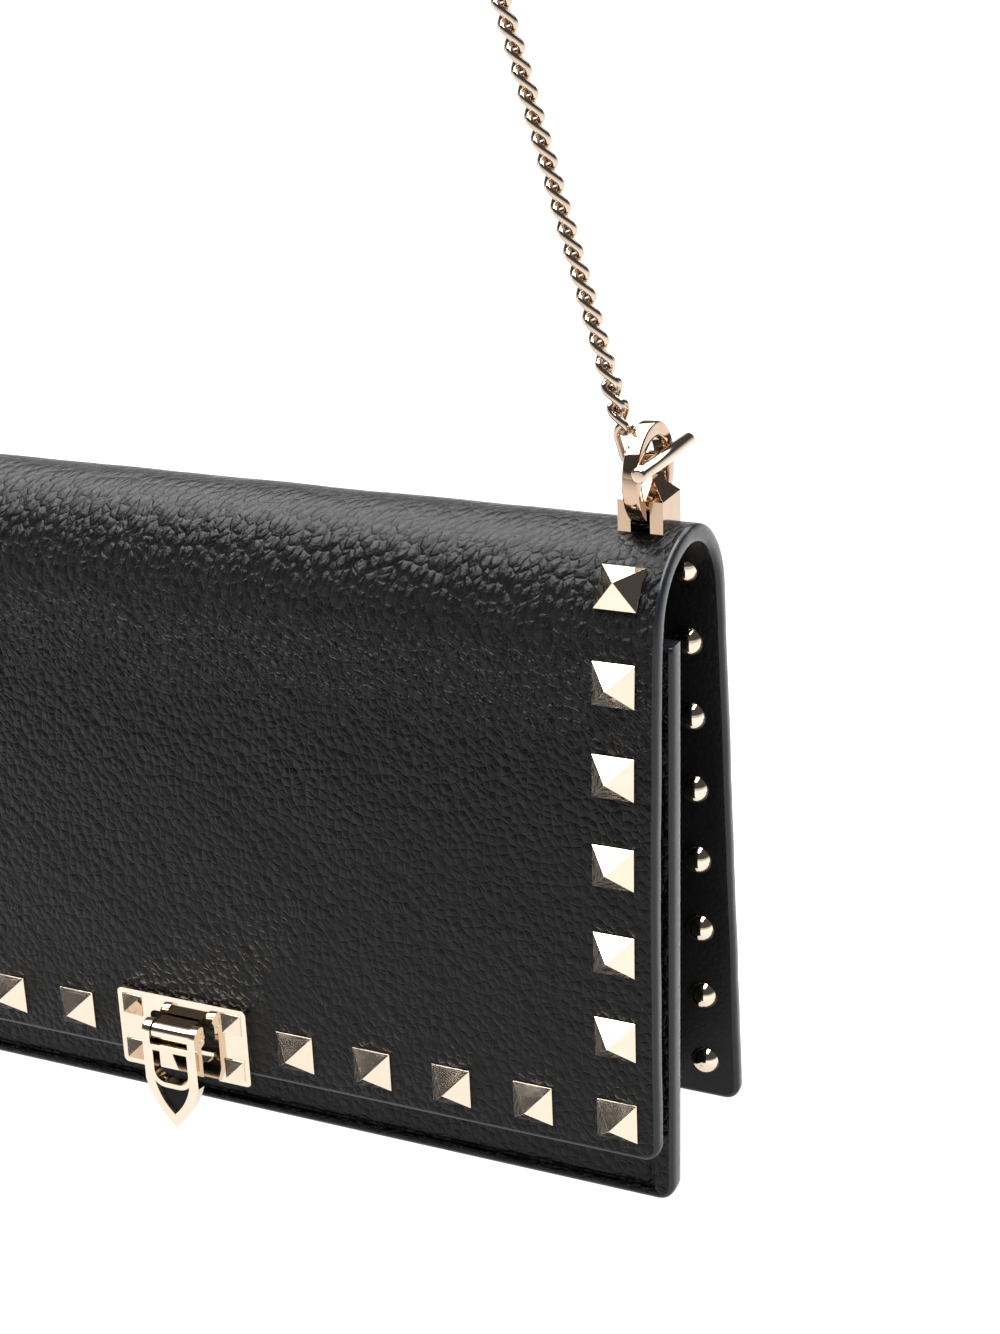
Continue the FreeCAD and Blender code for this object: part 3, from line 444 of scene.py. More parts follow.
def edge_paint():
    """Smooth lacquer on the cut edges, with the faint waves of a hand-laid coat."""
    material, shader = new_material("edge_paint")
    flat = object_coordinates(material, (1 / MM, 1 / MM, 1 / MM))
    waves = noise_node(material, flat, 0.45, 3.0).outputs["Fac"]
    bump = add_node(material, "ShaderNodeBump", {"Height": waves, "Strength": 0.5, "Distance": 0.12 * MM})
    link_input(material, bump.outputs["Normal"], shader.inputs["Normal"])
    colour = mixed_colour(material, waves, (0.007, 0.0075, 0.009), (0.016, 0.017, 0.02))
    link_input(material, colour, shader.inputs["Base Color"])
    link_input(material, ranged(material, waves, 0.3, 0.7, 0.18, 0.26), shader.inputs["Roughness"])
    shader.inputs["IOR"].default_value = 1.4
    return material


def polished_metal(name, colour, deep, roughness):
    """Plated metal: very fine polishing lines, small dulled patches and a tone that drifts."""
    material, shader = new_material(name)
    flat = object_coordinates(material, (1 / MM, 1 / MM, 1 / MM))
    drawn = object_coordinates(material, (0.5 / MM, 0.5 / MM, 9 / MM))
    patches = noise_node(material, flat, 0.35, 3.0).outputs["Fac"]
    lines = noise_node(material, drawn, 1.0, 2.0).outputs["Fac"]
    rub = added(material, math_node(material, "MULTIPLY", patches, 0.7), lines, 0.3)
    dulled = ranged(material, rub, 0.35, 0.65, roughness * 0.75, roughness * 1.35)
    link_input(material, dulled, shader.inputs["Roughness"])
    bump = add_node(material, "ShaderNodeBump", {"Height": rub, "Strength": 0.25, "Distance": 0.006 * MM})
    link_input(material, bump.outputs["Normal"], shader.inputs["Normal"])
    tint = mixed_colour(material, patches, colour, deep)
    link_input(material, tint, shader.inputs["Base Color"])
    shader.inputs["Metallic"].default_value = 1.0
    return material


def enamel():
    """Black glass-like filling, a little uneven where it was poured."""
    material, shader = new_material("black_enamel")
    flat = object_coordinates(material, (1 / MM, 1 / MM, 1 / MM))
    flow = noise_node(material, flat, 0.5, 2.0).outputs["Fac"]
    colour = mixed_colour(material, flow, (0.003, 0.003, 0.003), (0.009, 0.009, 0.01))
    link_input(material, colour, shader.inputs["Base Color"])
    link_input(material, ranged(material, flow, 0.3, 0.7, 0.28, 0.4), shader.inputs["Roughness"])
    shader.inputs["IOR"].default_value = 1.18
    return material


def woven_tape():
    """Twill zip tape: two crossing sets of threads."""
    material, shader = new_material("zip_twill")
    flat = object_coordinates(material, (1 / MM, 1 / MM, 1 / MM))
    slanted = object_coordinates(material, (1 / MM, 1 / MM, 1 / MM), (0, 0, math.radians(35)))
    warp_inputs = {"Vector": slanted, "Scale": 0.9, "Distortion": 0.6, "Detail": 1.0}
    weft_inputs = {"Vector": flat, "Scale": 1.1, "Distortion": 0.4}
    warp = add_node(material, "ShaderNodeTexWave", warp_inputs, bands_direction="X").outputs["Fac"]
    weft = add_node(material, "ShaderNodeTexWave", weft_inputs, bands_direction="Y").outputs["Fac"]
    weave = math_node(material, "MULTIPLY", warp, weft)
    bump = add_node(material, "ShaderNodeBump", {"Height": weave, "Strength": 0.9, "Distance": 0.15 * MM})
    link_input(material, bump.outputs["Normal"], shader.inputs["Normal"])
    colour = mixed_colour(material, weave, (0.004, 0.004, 0.005), (0.02, 0.02, 0.022))
    link_input(material, colour, shader.inputs["Base Color"])
    shader.inputs["Roughness"].default_value = 0.85
    shader.inputs["Sheen Weight"].default_value = 0.25
    return material


def pale_floor():
    material, shader = new_material("pale_floor")
    flat = object_coordinates(material, (1, 1, 1))
    tone = noise_node(material, flat, 3.0, 2.0).outputs["Fac"]
    colour = mixed_colour(material, tone, (0.11, 0.11, 0.11), (0.13, 0.13, 0.13))
    link_input(material, colour, shader.inputs["Base Color"])
    shader.inputs["Roughness"].default_value = 0.7
    shader.inputs["Specular IOR Level"].default_value = 0.2
    # Painted light: the floor glows, fully near and behind the bag and fading to about half towards the
    # front, as the lamps' light would fall off.
    shader.inputs["Emission Color"].default_value = (1, 1, 1, 1)
    depth = add_node(material, "ShaderNodeSeparateXYZ", {"Vector": flat}).outputs["Y"]
    link_input(material, ranged(material, depth, -0.7, -0.15, 0.5, 1.03), shader.inputs["Emission Strength"])
    return material


# ---- Studio ----


def make_camera():
    cos_up, sin_up = math.cos(CAMERA_ELEVATION), math.sin(CAMERA_ELEVATION)
    ahead = Vector((-math.sin(CAMERA_AZIMUTH) * cos_up, math.cos(CAMERA_AZIMUTH) * cos_up, -sin_up))
    level = Vector((math.cos(CAMERA_AZIMUTH), math.sin(CAMERA_AZIMUTH), 0))
    over = level.cross(ahead)
    right = level * math.cos(CAMERA_ROLL) + over * math.sin(CAMERA_ROLL)
    up = over * math.cos(CAMERA_ROLL) - level * math.sin(CAMERA_ROLL)
    data = bpy.data.cameras.new("camera")
    data.lens = CAMERA_LENS
    data.sensor_width = 36.0
    data.clip_start = 0.01
    data.clip_end = 50.0
    camera = bpy.data.objects.new("camera", data)
    turned_to = Matrix((right, up, -ahead)).transposed().to_4x4()
    camera.matrix_world = Matrix.Translation(CAMERA_PLACE) @ turned_to
    bpy.context.scene.collection.objects.link(camera)
    bpy.context.scene.camera = camera


def area_light(name, place, target, size, radiance, tint=(1, 1, 1)):
    """Soft box of a given radiance, aimed at a point."""
    data = bpy.data.lights.new(name, "AREA")
    data.shape = "RECTANGLE"
    data.size, data.size_y = size
    data.energy = radiance * math.pi * size[0] * size[1]
    data.color = tint
    light = bpy.data.objects.new(name, data)
    light.location = place
    light.rotation_euler = (Vector(target) - Vector(place)).to_track_quat("-Z", "Y").to_euler()
    bpy.context.scene.collection.objects.link(light)


def make_studio():
    world = bpy.data.worlds.new("studio")
    world.use_nodes = True
    bpy.context.scene.world = world
    tree = world.node_tree
    place = tree.nodes.new("ShaderNodeTexCoord")
    split = tree.nodes.new("ShaderNodeSeparateXYZ")
    ramp = tree.nodes.new("ShaderNodeValToRGB")
    tree.links.new(place.outputs["Generated"], split.inputs[0])
    tree.links.new(split.outputs["Z"], ramp.inputs["Fac"])
    tree.links.new(ramp.outputs["Color"], tree.nodes["Background"].inputs["Color"])
    stops = ramp.color_ramp.elements
    stops[0].position, stops[0].color = 0.0, (1.0, 1.0, 1.0, 1)
    stops[1].position, stops[1].color = 1.0, (0.1, 0.1, 0.1, 1)
    for position, level in ((0.06, 0.7), (0.2, 0.08), (0.75, 0.08)):
        stop = stops.new(position)
        stop.color = (level, level, level * 1.02, 1)
    # Overhead boxes, with a gap that the lock's small pyramids mirror as dark: name, x, y, width, depth
    for name, x, y, width, depth in (
        ("overhead_back", -0.5, 0.3, 2.4, 1.2), ("overhead_front", -0.5, -0.775, 2.4, 0.43),
        ("overhead_left", -1.36, -0.43, 0.68, 0.26), ("overhead_right", -0.02, -0.43, 1.44, 0.26),
    ):
        area_light(name, (x, y, OVERHEAD_Z), (x, y, 0), (width, depth), OVERHEAD_RADIANCE)
    area_light("behind", (-0.3, 1.35, 1.35), (0, 0, 0.1), (2.8, 1.0), 3.0)
    bpy.context.scene.view_settings.view_transform = "Standard"
    corners = [(x * FLOOR_HALF, y * FLOOR_HALF, 0) for x, y in ((-1, -1), (1, -1), (1, 1), (-1, 1))]
    floor = add_object("floor", mesh_from("floor", corners, [(0, 1, 2, 3)]), [pale_floor()])
    floor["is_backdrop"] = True


# ---- Chain ----


def spline_points(name, route):
    """Points on the NURBS spline that has the route's points as its control points."""
    curve = bpy.data.curves.new(name, "CURVE")
    curve.dimensions = "3D"
    curve.resolution_u = 64
    spline = curve.splines.new("NURBS")
    spline.points.add(len(route) - 1)
    for point, place in zip(spline.points, route):
        point.co = (*place, 1.0)
    spline.order_u = 3
    spline.use_endpoint_u = True
    holder = bpy.data.objects.new(name, curve)
    bpy.context.scene.collection.objects.link(holder)
    bpy.context.view_layer.update()
    line = bpy.data.meshes.new_from_object(holder)
    points = [vertex.co.copy() for vertex in line.vertices]
    bpy.data.meshes.remove(line)
    bpy.data.objects.remove(holder)
    return points


def chain_route():
    right = [Vector((x, CHAIN_Y, z)) * MM for x, z in (CHAIN_FOOT, CHAIN_RISE, CHAIN_CORNER)]
    return right + [Vector((-p.x, p.y, p.z)) for p in reversed(right)]


def along_line(points, distance):
    """Point and direction on a line of points, a distance from its start."""
    for a, b in zip(points, points[1:]):
        step = (b - a).length
        if distance <= step:
            break
        distance -= step
    direction = (b - a).normalized()
    return a + direction * distance, direction


def curb_link(centre, along, normal):
    """One twisted link, which hooks through the next without touching it."""
    across = normal.cross(along)
    path = []
    for k in range(28):
        angle = 2 * math.pi * k / 28
        path.append(
            centre
            + along * LINK_HALF_LENGTH * math.cos(angle)
            + across * LINK_HALF_WIDTH * math.sin(angle)
            + normal * LINK_TWIST * math.sin(2 * angle)
        )
    return closed_tube(path, LINK_WIRE, normal)


def link_roll(index, count):
    """Roll of a link about the chain: the last few before each ring turn edge on to hook the end link."""
    from_end = min(index, count - 1 - index)
    return LINK_ROLL - (math.radians(90) + LINK_ROLL) * max(0.0, 1 - from_end / TURNED_LINKS)


def make_chain(gold):
    points = spline_points("chain_route", chain_route())
    total = sum((b - a).length for a, b in zip(points, points[1:]))
    count = round((total - 2 * FIRST_LINK) / LINK_PITCH) + 1
    pitch = (total - 2 * FIRST_LINK) / (count - 1)
    front = Vector((0, -1, 0))
    links = []
    for k in range(count):
        centre, along = along_line(points, FIRST_LINK + k * pitch)
        normal = Matrix.Rotation(link_roll(k, count), 3, along) @ front
        links.append(curb_link(centre, along, normal))
    mesh = mesh_from("chain_links", *joined(links))
    smooth(mesh, 80)
    chain = add_object("chain_links", mesh, [gold])
    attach(chain, "strap")
    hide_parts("chain")
    return chain, points


def make_end_link(side, gold):
    """Plain oval link between the toggle bar's eye and the chain."""
    node = "end_link_" + side
    low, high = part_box(node)
    centre = (low + high) / 2
    sign = 1 if side == "right" else -1
    foot = Vector((sign * CHAIN_FOOT[0], CHAIN_Y, CHAIN_FOOT[1])) * MM
    up = (foot - centre).normalized()
    across = up.cross(Vector((0, 1, 0)))
    straight = END_LINK_HALF_LENGTH - END_LINK_HALF_WIDTH
    path = []
    for k in range(40):
        angle = 2 * math.pi * k / 40
        shift = straight if math.cos(angle) > 0 else -straight
        along = shift + END_LINK_HALF_WIDTH * math.cos(angle)
        path.append(centre + up * along + across * END_LINK_HALF_WIDTH * math.sin(angle))
    mesh = mesh_from(node + "_finished", *closed_tube(path, END_LINK_WIRE, Vector((0, 1, 0)), 12))
    smooth(mesh, 80)
    piece = add_object(node + "_finished", mesh, [gold])
    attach(piece, "strap")
    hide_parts(node)
    return piece


def make_toggle(side, gold):
    """Round bar with softened ends and an oval eye brazed to its middle."""
    node = "toggle_" + side
    low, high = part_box(node)
    sign = 1 if side == "right" else -1
    half = (high.y - low.y) / 2
    outer_x = high.x if sign > 0 else low.x
    centre = Vector((outer_x - sign * TOGGLE_RADIUS, (low.y + high.y) / 2, (low.z + high.z) / 2))
    profile = [(0.02 * MM, -half)]
    for k in range(5):
        angle = math.radians(90 * k / 4)
        radius = TOGGLE_RADIUS - TOGGLE_CHAMFER + TOGGLE_CHAMFER * math.sin(angle)
        profile.append((radius, -half + TOGGLE_CHAMFER - TOGGLE_CHAMFER * math.cos(angle)))
    profile += [(r, -h) for r, h in reversed(profile)]
    bar = turned(profile, centre, Vector((0, 1, 0)), Vector((0, 0, 1)), 40)
    middle = centre - Vector((sign * EYE_REACH / 2, 0, 0))
    straight = EYE_REACH / 2 - EYE_HALF_WIDTH
    path = []
    for k in range(36):
        angle = 2 * math.pi * k / 36
        shift = straight if math.cos(angle) > 0 else -straight
        across, along = math.sin(angle) * EYE_HALF_WIDTH, math.cos(angle) * EYE_HALF_WIDTH
        path.append(middle + Vector((shift + along, across, 0)))
    eye = closed_tube(path, EYE_WIRE, Vector((0, 0, 1)), 12)
    mesh = recalculated(mesh_from(node + "_finished", *joined([bar, eye])))
    smooth(mesh, 50)
    piece = add_object(node + "_finished", mesh, [gold])
    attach(piece, "strap")
    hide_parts(node)
    return piece


def make_ring(side, gold):
    """Flat ring with rounded rims."""
    node = "ring_" + side
    low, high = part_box(node)
    outer = (high.z - low.z) / 2
    side_x = (high.x - low.x) / 2 - RING_RIM
    outer_rim, inner_rim = outer - RING_RIM, RING_HOLE_RADIUS + RING_RIM
    profile = []
    for radius, height, start in (
        (outer_rim, side_x, 0), (inner_rim, side_x, 90), (inner_rim, -side_x, 180), (outer_rim, -side_x, 270)
    ):
        for k in range(4):
            angle = math.radians(start + 30 * k)
            profile.append((radius + RING_RIM * math.cos(angle), height + RING_RIM * math.sin(angle)))
    ring = turned(profile, (low + high) / 2, Vector((1, 0, 0)), Vector((0, 0, 1)), 120, ring=True)
    mesh = recalculated(mesh_from(node + "_finished", *ring))
    smooth(mesh, 35)
    piece = add_object(node + "_finished", mesh, [gold])
    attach(piece, node_body(node))
    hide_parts(node)
    return piece


# ---- Leather sheets ----


def cover_point(run, depth):
    """Point on the cover's profile, run from the flap's foot over the top to the foot of the back."""
    foot_angle = math.asin((FLAP_BOTTOM - FACE_Z) / FACE_RADIUS)
    front = FACE_RADIUS * (FACE_LEAN - foot_angle)
    bend = BEND_RADIUS * (math.pi - FACE_LEAN - BACK_LEAN)
    if run < front:
        angle = foot_angle + run / FACE_RADIUS
        reach = FACE_RADIUS - depth
        return Vector((0, FACE_Y - reach * math.cos(angle), FACE_Z + reach * math.sin(angle)))
    angle = FACE_LEAN + min(run - front, bend) / BEND_RADIUS
    reach = BEND_RADIUS - depth
    point = Vector((0, BEND_Y - reach * math.cos(angle), BEND_Z + reach * math.sin(angle)))
    down = max(0.0, run - front - bend)
    return point + Vector((0, math.sin(BACK_LEAN), -math.cos(BACK_LEAN))) * down


def cover_length():
    """Run of the whole cover, from the flap's foot to the foot of the back."""
    foot_angle = math.asin((FLAP_BOTTOM - FACE_Z) / FACE_RADIUS)
    return FACE_RADIUS * (FACE_LEAN - foot_angle) + BEND_RADIUS * (math.pi - FACE_LEAN - BACK_LEAN) + BACK_RUN


def ramp_up(value, low, high):
    """Smooth step from 0 at low to 1 at high."""
    t = min(1.0, max(0.0, (value - low) / (high - low)))
    return t * t * (3 - 2 * t)


def rounded_rows(length, half, corner, both_ends, steps):
    """Rows of a rounded rectangle: a function of inset that gives (run, half width) row by row."""

    def rows(inset):
        made = []
        for k in range(CORNER_ROWS + 1):
            angle = math.radians(90 * k / CORNER_ROWS)
            run = corner - (corner - inset) * math.cos(angle)
            made.append((run, half - corner + (corner - inset) * math.sin(angle)))
        far = length - corner if both_ends else length - inset
        for k in range(1, steps):
            made.append((corner + (far - corner) * k / steps, half - inset))
        if not both_ends:
            return made + [(far, half - inset)]
        for k in range(CORNER_ROWS + 1):
            angle = math.radians(90 * (CORNER_ROWS - k) / CORNER_ROWS)
            run = length - corner + (corner - inset) * math.cos(angle)
            made.append((run, half - corner + (corner - inset) * math.sin(angle)))
        return made

    return rows


def column_places(half, edge_steps, middle_steps):
    """Places across a row: fixed distances in from each side, and even steps between them."""
    inner = half - edge_steps[-1]
    right = [half - d for d in edge_steps[:-1]]
    middle = [-inner + 2 * inner * k / middle_steps for k in range(middle_steps + 1)]
    return [-x for x in right] + middle + right[::-1]


def closed_sheet(name, rows, edge_steps, middle_steps, profile, place):
    """Sheet with a rounded edge all round. place(x, run, depth) gives a point. Slots: face, edge, back."""
    verts, faces, slots = [], [], []

    def grid(inset, depth, slot, flip):
        start = len(verts)
        lines = rows(inset)
        for run, half in lines:
            for x in column_places(half, edge_steps, middle_steps):
                verts.append(place(x, run, depth))
        wide = 2 * len(edge_steps) + middle_steps - 1
        for j in range(len(lines) - 1):
            for k in range(wide - 1):
                a = start + j * wide + k
                quad = (a, a + 1, a + wide + 1, a + wide)
                faces.append(quad[::-1] if flip else quad)
                slots.append(slot)
        rim = [start + k for k in range(wide)]
        rim += [start + j * wide + wide - 1 for j in range(1, len(lines))]
        rim += [start + (len(lines) - 1) * wide + k for k in range(wide - 2, -1, -1)]
        rim += [start + j * wide for j in range(len(lines) - 2, 0, -1)]
        return rim

    def loop(inset, depth):
        lines = rows(inset)
        start = len(verts)
        foot, top = lines[0], lines[-1]
        for x in column_places(foot[1], edge_steps, middle_steps):
            verts.append(place(x, foot[0], depth))
        for run, half in lines[1:]:
            verts.append(place(half, run, depth))
        for x in column_places(top[1], edge_steps, middle_steps)[-2::-1]:
            verts.append(place(x, top[0], depth))
        for run, half in lines[-2:0:-1]:
            verts.append(place(-half, run, depth))
        return list(range(start, len(verts)))

    rims = [grid(*profile[0], 0, False)]
    rims += [loop(inset, depth) for inset, depth in profile[1:-1]]
    rims.append(grid(*profile[-1], 2, True))
    count = len(rims[0])
    for outer, inner in zip(rims, rims[1:]):
        for k in range(count):
            faces.append((outer[(k + 1) % count], outer[k], inner[k], inner[(k + 1) % count]))
            slots.append(1)
    return recalculated(mesh_from(name, verts, faces, slots))


def ripple(x, run, size, height, seed):
    """Smooth random height at a place on a sheet."""
    return height * noise.noise(Vector((x / size, run / size, seed)))


def stud_row_run():
    """Run of the flap's lowest row of studs, from its foot."""
    foot_angle = math.asin((FLAP_BOTTOM - FACE_Z) / FACE_RADIUS)
    return FACE_RADIUS * (math.asin((STUD_ROW_Z - FACE_Z) / FACE_RADIUS) - foot_angle)


def make_cover(face, edge, lining):
    """One sheet: flap, roof and back, a little fuller between the studs than at them."""
    length = cover_length()
    foot_row = stud_row_run()

    def place(x, run, depth):
        on_back = ramp_up(run, length - BACK_RUN, length - BACK_RUN + 6 * MM)
        thick = FLAP_SHEET + (BACK_SHEET - FLAP_SHEET) * on_back
        level = depth * thick / FLAP_SHEET
        calm = ramp_up(abs(abs(x) - STUD_COLUMN_X), STUD_CALM * 0.6, STUD_CALM * 1.6)
        calm *= ramp_up(abs(run - foot_row), STUD_CALM * 0.6, STUD_CALM * 1.6)
        swell = ripple(x, run, *COVER_SWELL) + ripple(x, run, *COVER_RIPPLE)
        level -= swell * calm * (1 - ramp_up(depth, 0, 0.5 * MM))
        side = math.copysign(ripple(0, run, *COVER_SIDE_WAVE), x) * ramp_up(abs(x), 70 * MM, 95 * MM)
        point = cover_point(run, level)
        return Vector((x + side, point.y, point.z))

    rows = rounded_rows(length, COVER_HALF, CORNER, True, 150)
    mesh = closed_sheet("cover", rows, [0, 2 * MM, 4 * MM], 120, EDGE_PROFILE, place)
    smooth(mesh, 60)
    cover = add_object("cover", mesh, [face, edge, lining])
    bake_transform(cover)
    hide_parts("flap_panel", "flap_lining", "back_panel", "roof_lining", "back_facing")
    return cover


def make_front_panel(face, edge, lining):
    """Front panel with a raised border and a groove inside it."""

    def place(x, run, depth):
        past = min(PANEL_HALF - abs(x) - BORDER_WIDTH, run - BORDER_FOOT)
        uneven = ripple(x, run, *GROOVE_WAVE)
        on_face = 1 - ramp_up(depth, 0, 0.6 * MM)
        rim = BORDER_RAISE * (1 - ramp_up(past, -0.35 * MM, 0)) * (1 - ramp_up(depth, 1.5 * MM, 3 * MM))
        fading = ramp_up(past + uneven, 0.45 * GROOVE_WIDTH, 1.3 * GROOVE_WIDTH)
        dip = ramp_up(past, -0.2 * MM, 0.15 * MM) * (1 - fading)
        groove = GROOVE_DEPTH * dip * on_face
        swell = ripple(x, run, *PANEL_SWELL) * ramp_up(past, 2 * MM, 8 * MM) * on_face
        inwards = depth * PANEL_SHEET / FLAP_SHEET - rim + groove - swell
        y = PANEL_FOOT_Y + run * math.tan(PANEL_LEAN) + inwards
        return Vector((x, y, run))

    rows = rounded_rows(PANEL_TOP, PANEL_HALF, CORNER, False, 90)
    steps = [0] + [step * MM for step in (1.5, 2.4, 2.9, 3.2, 3.6, 3.9, 4.2, 4.6, 5.0, 6.0)]
    mesh = closed_sheet("front_panel_leather", rows, steps, 70, EDGE_PROFILE, place)
    smooth(mesh, 60)
    panel = add_object("front_panel_leather", mesh, [face, edge, lining])
    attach(panel, "front")
    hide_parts("front_panel", "front_lining", "front_border")
    return panel


def fold_line(t, y_front, y_back):
    """Plan of the gusset from the front panel, at t = 0, to the back, at t = 4: a soft W."""
    stops = [GUSSET_EDGE_X, GUSSET_FOLD_X, GUSSET_MIDDLE_X, GUSSET_FOLD_X, GUSSET_EDGE_X]
    k = min(3, int(t))
    part = (1 - math.cos(math.pi * (t - k))) / 2
    return Vector((stops[k] + (stops[k + 1] - stops[k]) * part, y_front + (y_back - y_front) * t / 4, 0))


def make_gusset(side, face, edge):
    """Pleated side wall. Its flat grid, half wide on each side, is laid along the W of fold_line."""
    node = "gusset_" + side
    low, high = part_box(node)
    sign = 1 if side == "right" else -1
    run_length = GUSSET_TOP - GUSSET_LOW
    half = run_length * 0.2

    def ends(z):
        front = PANEL_FOOT_Y + z * math.tan(PANEL_LEAN) + GUSSET_SET_BACK
        back = high.y - (z - GUSSET_LOW) * math.tan(BACK_LEAN)
        return front, back

    def place(x, run, depth):
        z = GUSSET_LOW + run
        front, back = ends(z)
        t = min(4.0, max(0.0, 2 + 2 * x / half))
        here = fold_line(t, front, back)
        step = fold_line(min(4.0, t + 0.02), front, back) - fold_line(max(0.0, t - 0.02), front, back)
        out = Vector((step.y, -step.x, 0)).normalized()
        point = here + out * (-depth)
        return Vector((sign * point.x, point.y, z))

    profile = [(0.25 * MM, 0.0), (0.0, 0.3 * MM), (0.0, 0.7 * MM), (0.25 * MM, 1.0 * MM)]
    rows = rounded_rows(run_length, half, 1.0 * MM, True, 40)
    mesh = closed_sheet(node + "_leather", rows, [0, 0.4 * MM], 96, profile, place)
    smooth(mesh, 60)
    gusset = add_object(node + "_leather", mesh, [face, edge, face])
    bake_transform(gusset)
    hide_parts(node)
    return gusset


def make_card(node, piece_name, materials, seed, swell=0.05 * MM):
    """Flat leather or cloth part that fills its CAD node's box: rounded edges and a slightly uneven face."""
    low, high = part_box(node)
    size = high - low
    thin = min(range(3), key=lambda axis: size[axis])
    tall = 2 if thin == 1 else 1
    half, length, thick = size.x / 2, size[tall], size[thin]
    middle = (low.x + high.x) / 2
    inset = thick * 0.3
    profile = [(inset, 0.0), (0.0, thick * 0.3), (0.0, thick * 0.7), (inset, thick)]

    def place(x, run, depth):
        wave = ripple(x, run, 12 * MM, swell, seed) * ramp_up(half - abs(x), 0, 4 * MM)
        point = Vector((middle + x, 0, 0))
        point[thin] = low[thin] + depth + (wave if 0 < depth < thick else wave * 0.9)
        point[tall] = low[tall] + run
        return point

    rows = rounded_rows(length, half, max(inset * 1.2, 0.4 * MM), True, 24)
    mesh = closed_sheet(piece_name, rows, [0, 0.6 * MM], 60, profile, place)
    smooth(mesh, 60)
    card = add_object(piece_name, mesh, materials)
    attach(card, node_body(node))
    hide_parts(node)
    return card


# ---- Zip ----


def rounded_block(low, high, bevel):
    """Vertices and faces of a box with rounded edges."""
    bm = bmesh.new()
    bmesh.ops.create_cube(bm, size=1.0)
    size, centre = high - low, (low + high) / 2
    for vertex in bm.verts:
        vertex.co = Vector(vertex.co[k] * size[k] + centre[k] for k in range(3))
    bmesh.ops.bevel(
        bm, geom=bm.edges[:], offset=bevel, offset_type="OFFSET", segments=2, profile=0.5, affect="EDGES"
    )
    bm.verts.index_update()
    verts = [vertex.co.copy() for vertex in bm.verts]
    faces = [tuple(vertex.index for vertex in face.verts) for face in bm.faces]
    bm.free()
    return verts, faces


def make_zip_tapes(tape):
    """Cloth strips in front of and behind the teeth."""
    low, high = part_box("zip_tapes")
    teeth_low, teeth_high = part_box("zip_teeth")
    parts = []
    for y0, y1 in ((low.y, teeth_low.y), (teeth_high.y, high.y)):
        parts.append(rounded_block(Vector((low.x, y0, low.z)), Vector((high.x, y1, high.z)), 0.2 * MM))
    mesh = mesh_from("zip_tape_cloth", *joined(parts))
    smooth(mesh, 40)
    piece = add_object("zip_tape_cloth", mesh, [tape])
    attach(piece, "body")
    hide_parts("zip_tapes")


def make_zip_teeth(gold):
    """Two rows of teeth that take turns across the middle."""
    low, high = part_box("zip_teeth")
    middle = (low.y + high.y) / 2
    count = int((high.x - low.x) / TOOTH_PITCH)
    parts = []
    for k in range(count):
        for side in (-1, 1):
            x = low.x + (k + (0.25 if side < 0 else 0.75)) * TOOTH_PITCH
            edge_y = low.y if side < 0 else high.y
            y0, y1 = sorted((edge_y, middle - side * TOOTH_REACH))
            corner = Vector((x - TOOTH_WIDTH / 2, y0, low.z))
            parts.append(rounded_block(corner, Vector((x + TOOTH_WIDTH / 2, y1, high.z)), 0.14 * MM))
    mesh = mesh_from("zip_teeth_finished", *joined(parts))
    smooth(mesh, 40)
    piece = add_object("zip_teeth_finished", mesh, [gold])
    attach(piece, "body")
    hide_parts("zip_teeth")


# ---- Lock ----


def make_tongue(gold, black):
    """The lock's tongue, with black enamel in the sunk facet."""
    piece = refined("lock_tongue", 0.16 * MM, [gold, black])
    low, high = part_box("lock_tongue")
    floor_y = low.y + FACET_SINK
    for face in piece.data.polygons:
        centre = face.center
        if abs(centre.y - floor_y) < 0.08 * MM and face.normal.y < -0.9:
            face.material_index = 1
    return piece


def finish_cad_nodes(materials_by_slot):
    """Gives each CAD node that stays its material, by the record's slot."""
    for entry in frame["record"]["subparts"]:
        for slot in frame["nodes"][entry["node"]].material_slots:
            slot.material = materials_by_slot[entry["material_slot"]]


def write_sizes():
    boxes = {"cad": cad_bounds, "visual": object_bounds()}
    plain = {name: [list(corner) for corner in box] for name, box in boxes.items()}


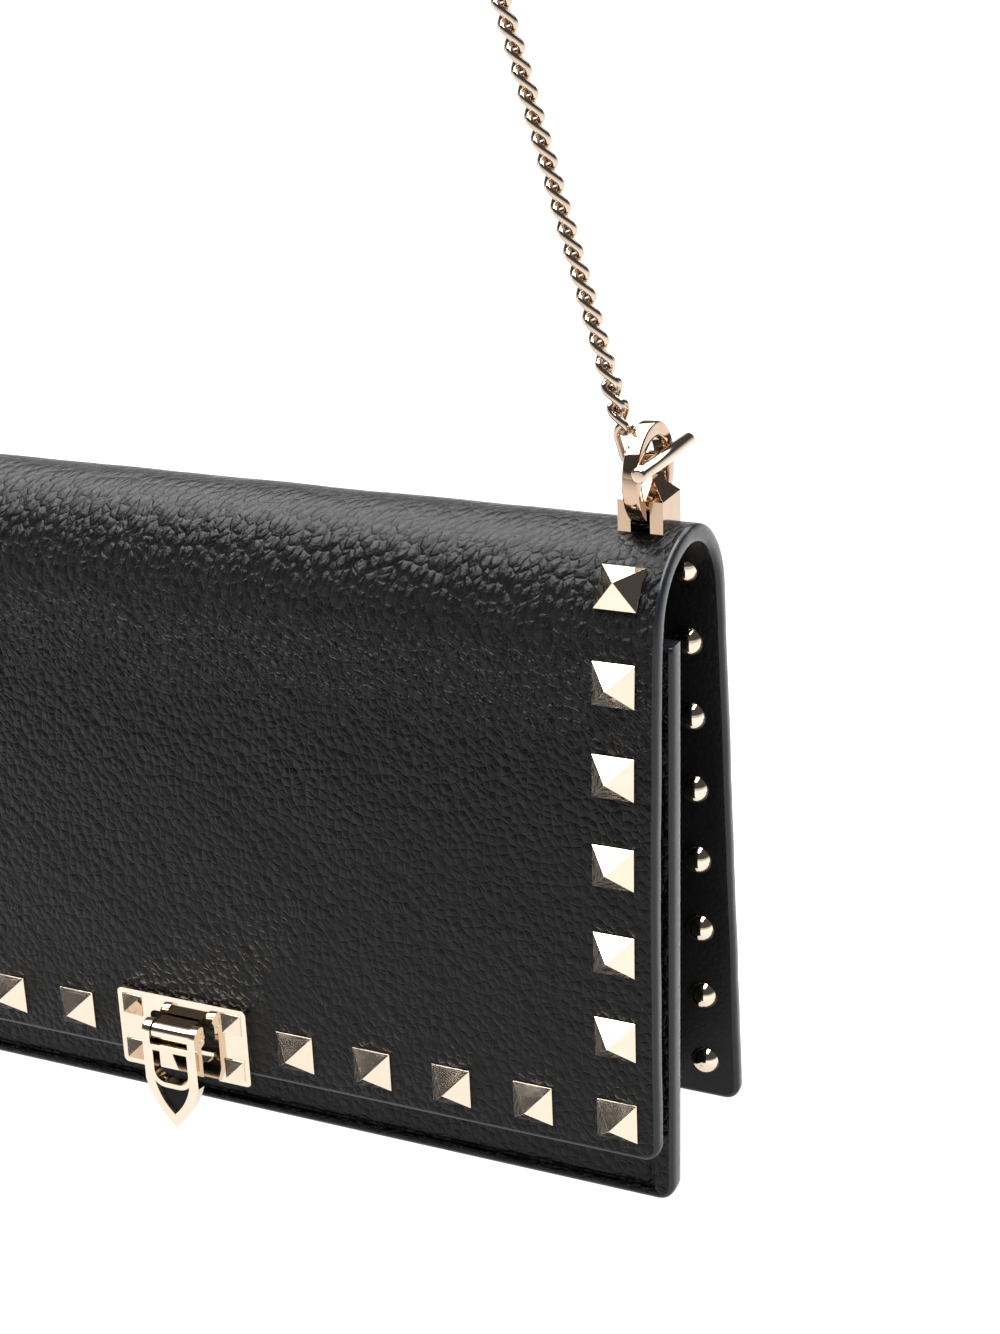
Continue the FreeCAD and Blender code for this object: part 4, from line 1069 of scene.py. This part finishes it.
def main():
    make_camera()
    gold = polished_metal("pale_gold", (0.78, 0.665, 0.55), (0.72, 0.60, 0.47), 0.055)
    steel = polished_metal("plain_steel", (0.62, 0.62, 0.62), (0.52, 0.52, 0.53), 0.3)
    chain_gold = polished_metal("chain_gold", (0.66, 0.54, 0.43), (0.58, 0.46, 0.36), 0.055)
    # Painted reflection: the rings and posts get a darker, redder copy of the pale gold, so their faces look
    # as if they mirrored dark surroundings rather than the white floor.
    reflection_darkened_gold = polished_metal("reflection_darkened_gold", (0.56, 0.41, 0.30), (0.48, 0.34, 0.24), 0.055)
    chain, path = make_chain(chain_gold)
    on_chain = [make_end_link(side, chain_gold) for side in ("right", "left")]
    on_chain += [make_toggle(side, chain_gold) for side in ("right", "left")]
    tuple(path[0])
    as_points(path)
    make_studio()
    calf = leather(
        "cover_calf", (0.0018, 0.0018, 0.002), (0.0035, 0.0035, 0.0038), 1.5, 0.85 * MM, 0.25, 1.245
    )
    inner = leather("lining_calf", (0.003, 0.003, 0.003), (0.007, 0.007, 0.007), 1.0, 0.1 * MM, 0.5, 1.3, 0.3)
    pocket = leather("pocket_calf", (0.004, 0.004, 0.004), (0.01, 0.01, 0.01), 0.8, 0.06 * MM, 0.5, 1.35, 0.2)
    edge = edge_paint()
    tape = woven_tape()
    black = enamel()
    make_cover(calf, edge, inner)
    make_front_panel(calf, edge, inner)
    for side in ("right", "left"):
        make_gusset(side, inner, edge)
        make_ring(side, reflection_darkened_gold)
        refined("post_" + side, 0.18 * MM, [reflection_darkened_gold])
    make_card("base_gusset", "base_leather", [inner, edge, inner], 2.2)
    make_card("pocket_front_wall", "pocket_front_leather", [pocket, edge, pocket], 3.1)
    make_card("pocket_rear_wall", "pocket_rear_leather", [pocket, edge, pocket], 5.3)
    for k in (1, 2, 3):
        name = "card_slot_" + str(k)
        make_card(name, name + "_leather", [pocket, edge, pocket], 7.0 + k, 0.02 * MM)
    make_zip_tapes(tape)
    make_zip_teeth(gold)
    for node, bevel in (
        ("flap_studs", 0.13), ("back_studs", 0.13), ("lock_plate", 0.12), ("lock_bridge", 0.25),
        ("zip_slider", 0.15), ("zip_pull", 0.15), ("zip_stops", 0.2),
    ):
        refined(node, bevel * MM, [gold])
    make_tongue(gold, black)
    finish_cad_nodes({
        "cover_leather": calf, "lining_leather": inner, "pocket_leather": pocket,
        "zip_tape": tape, "gold_metal": gold, "plain_steel": steel,
    })
    write_sizes()


main()
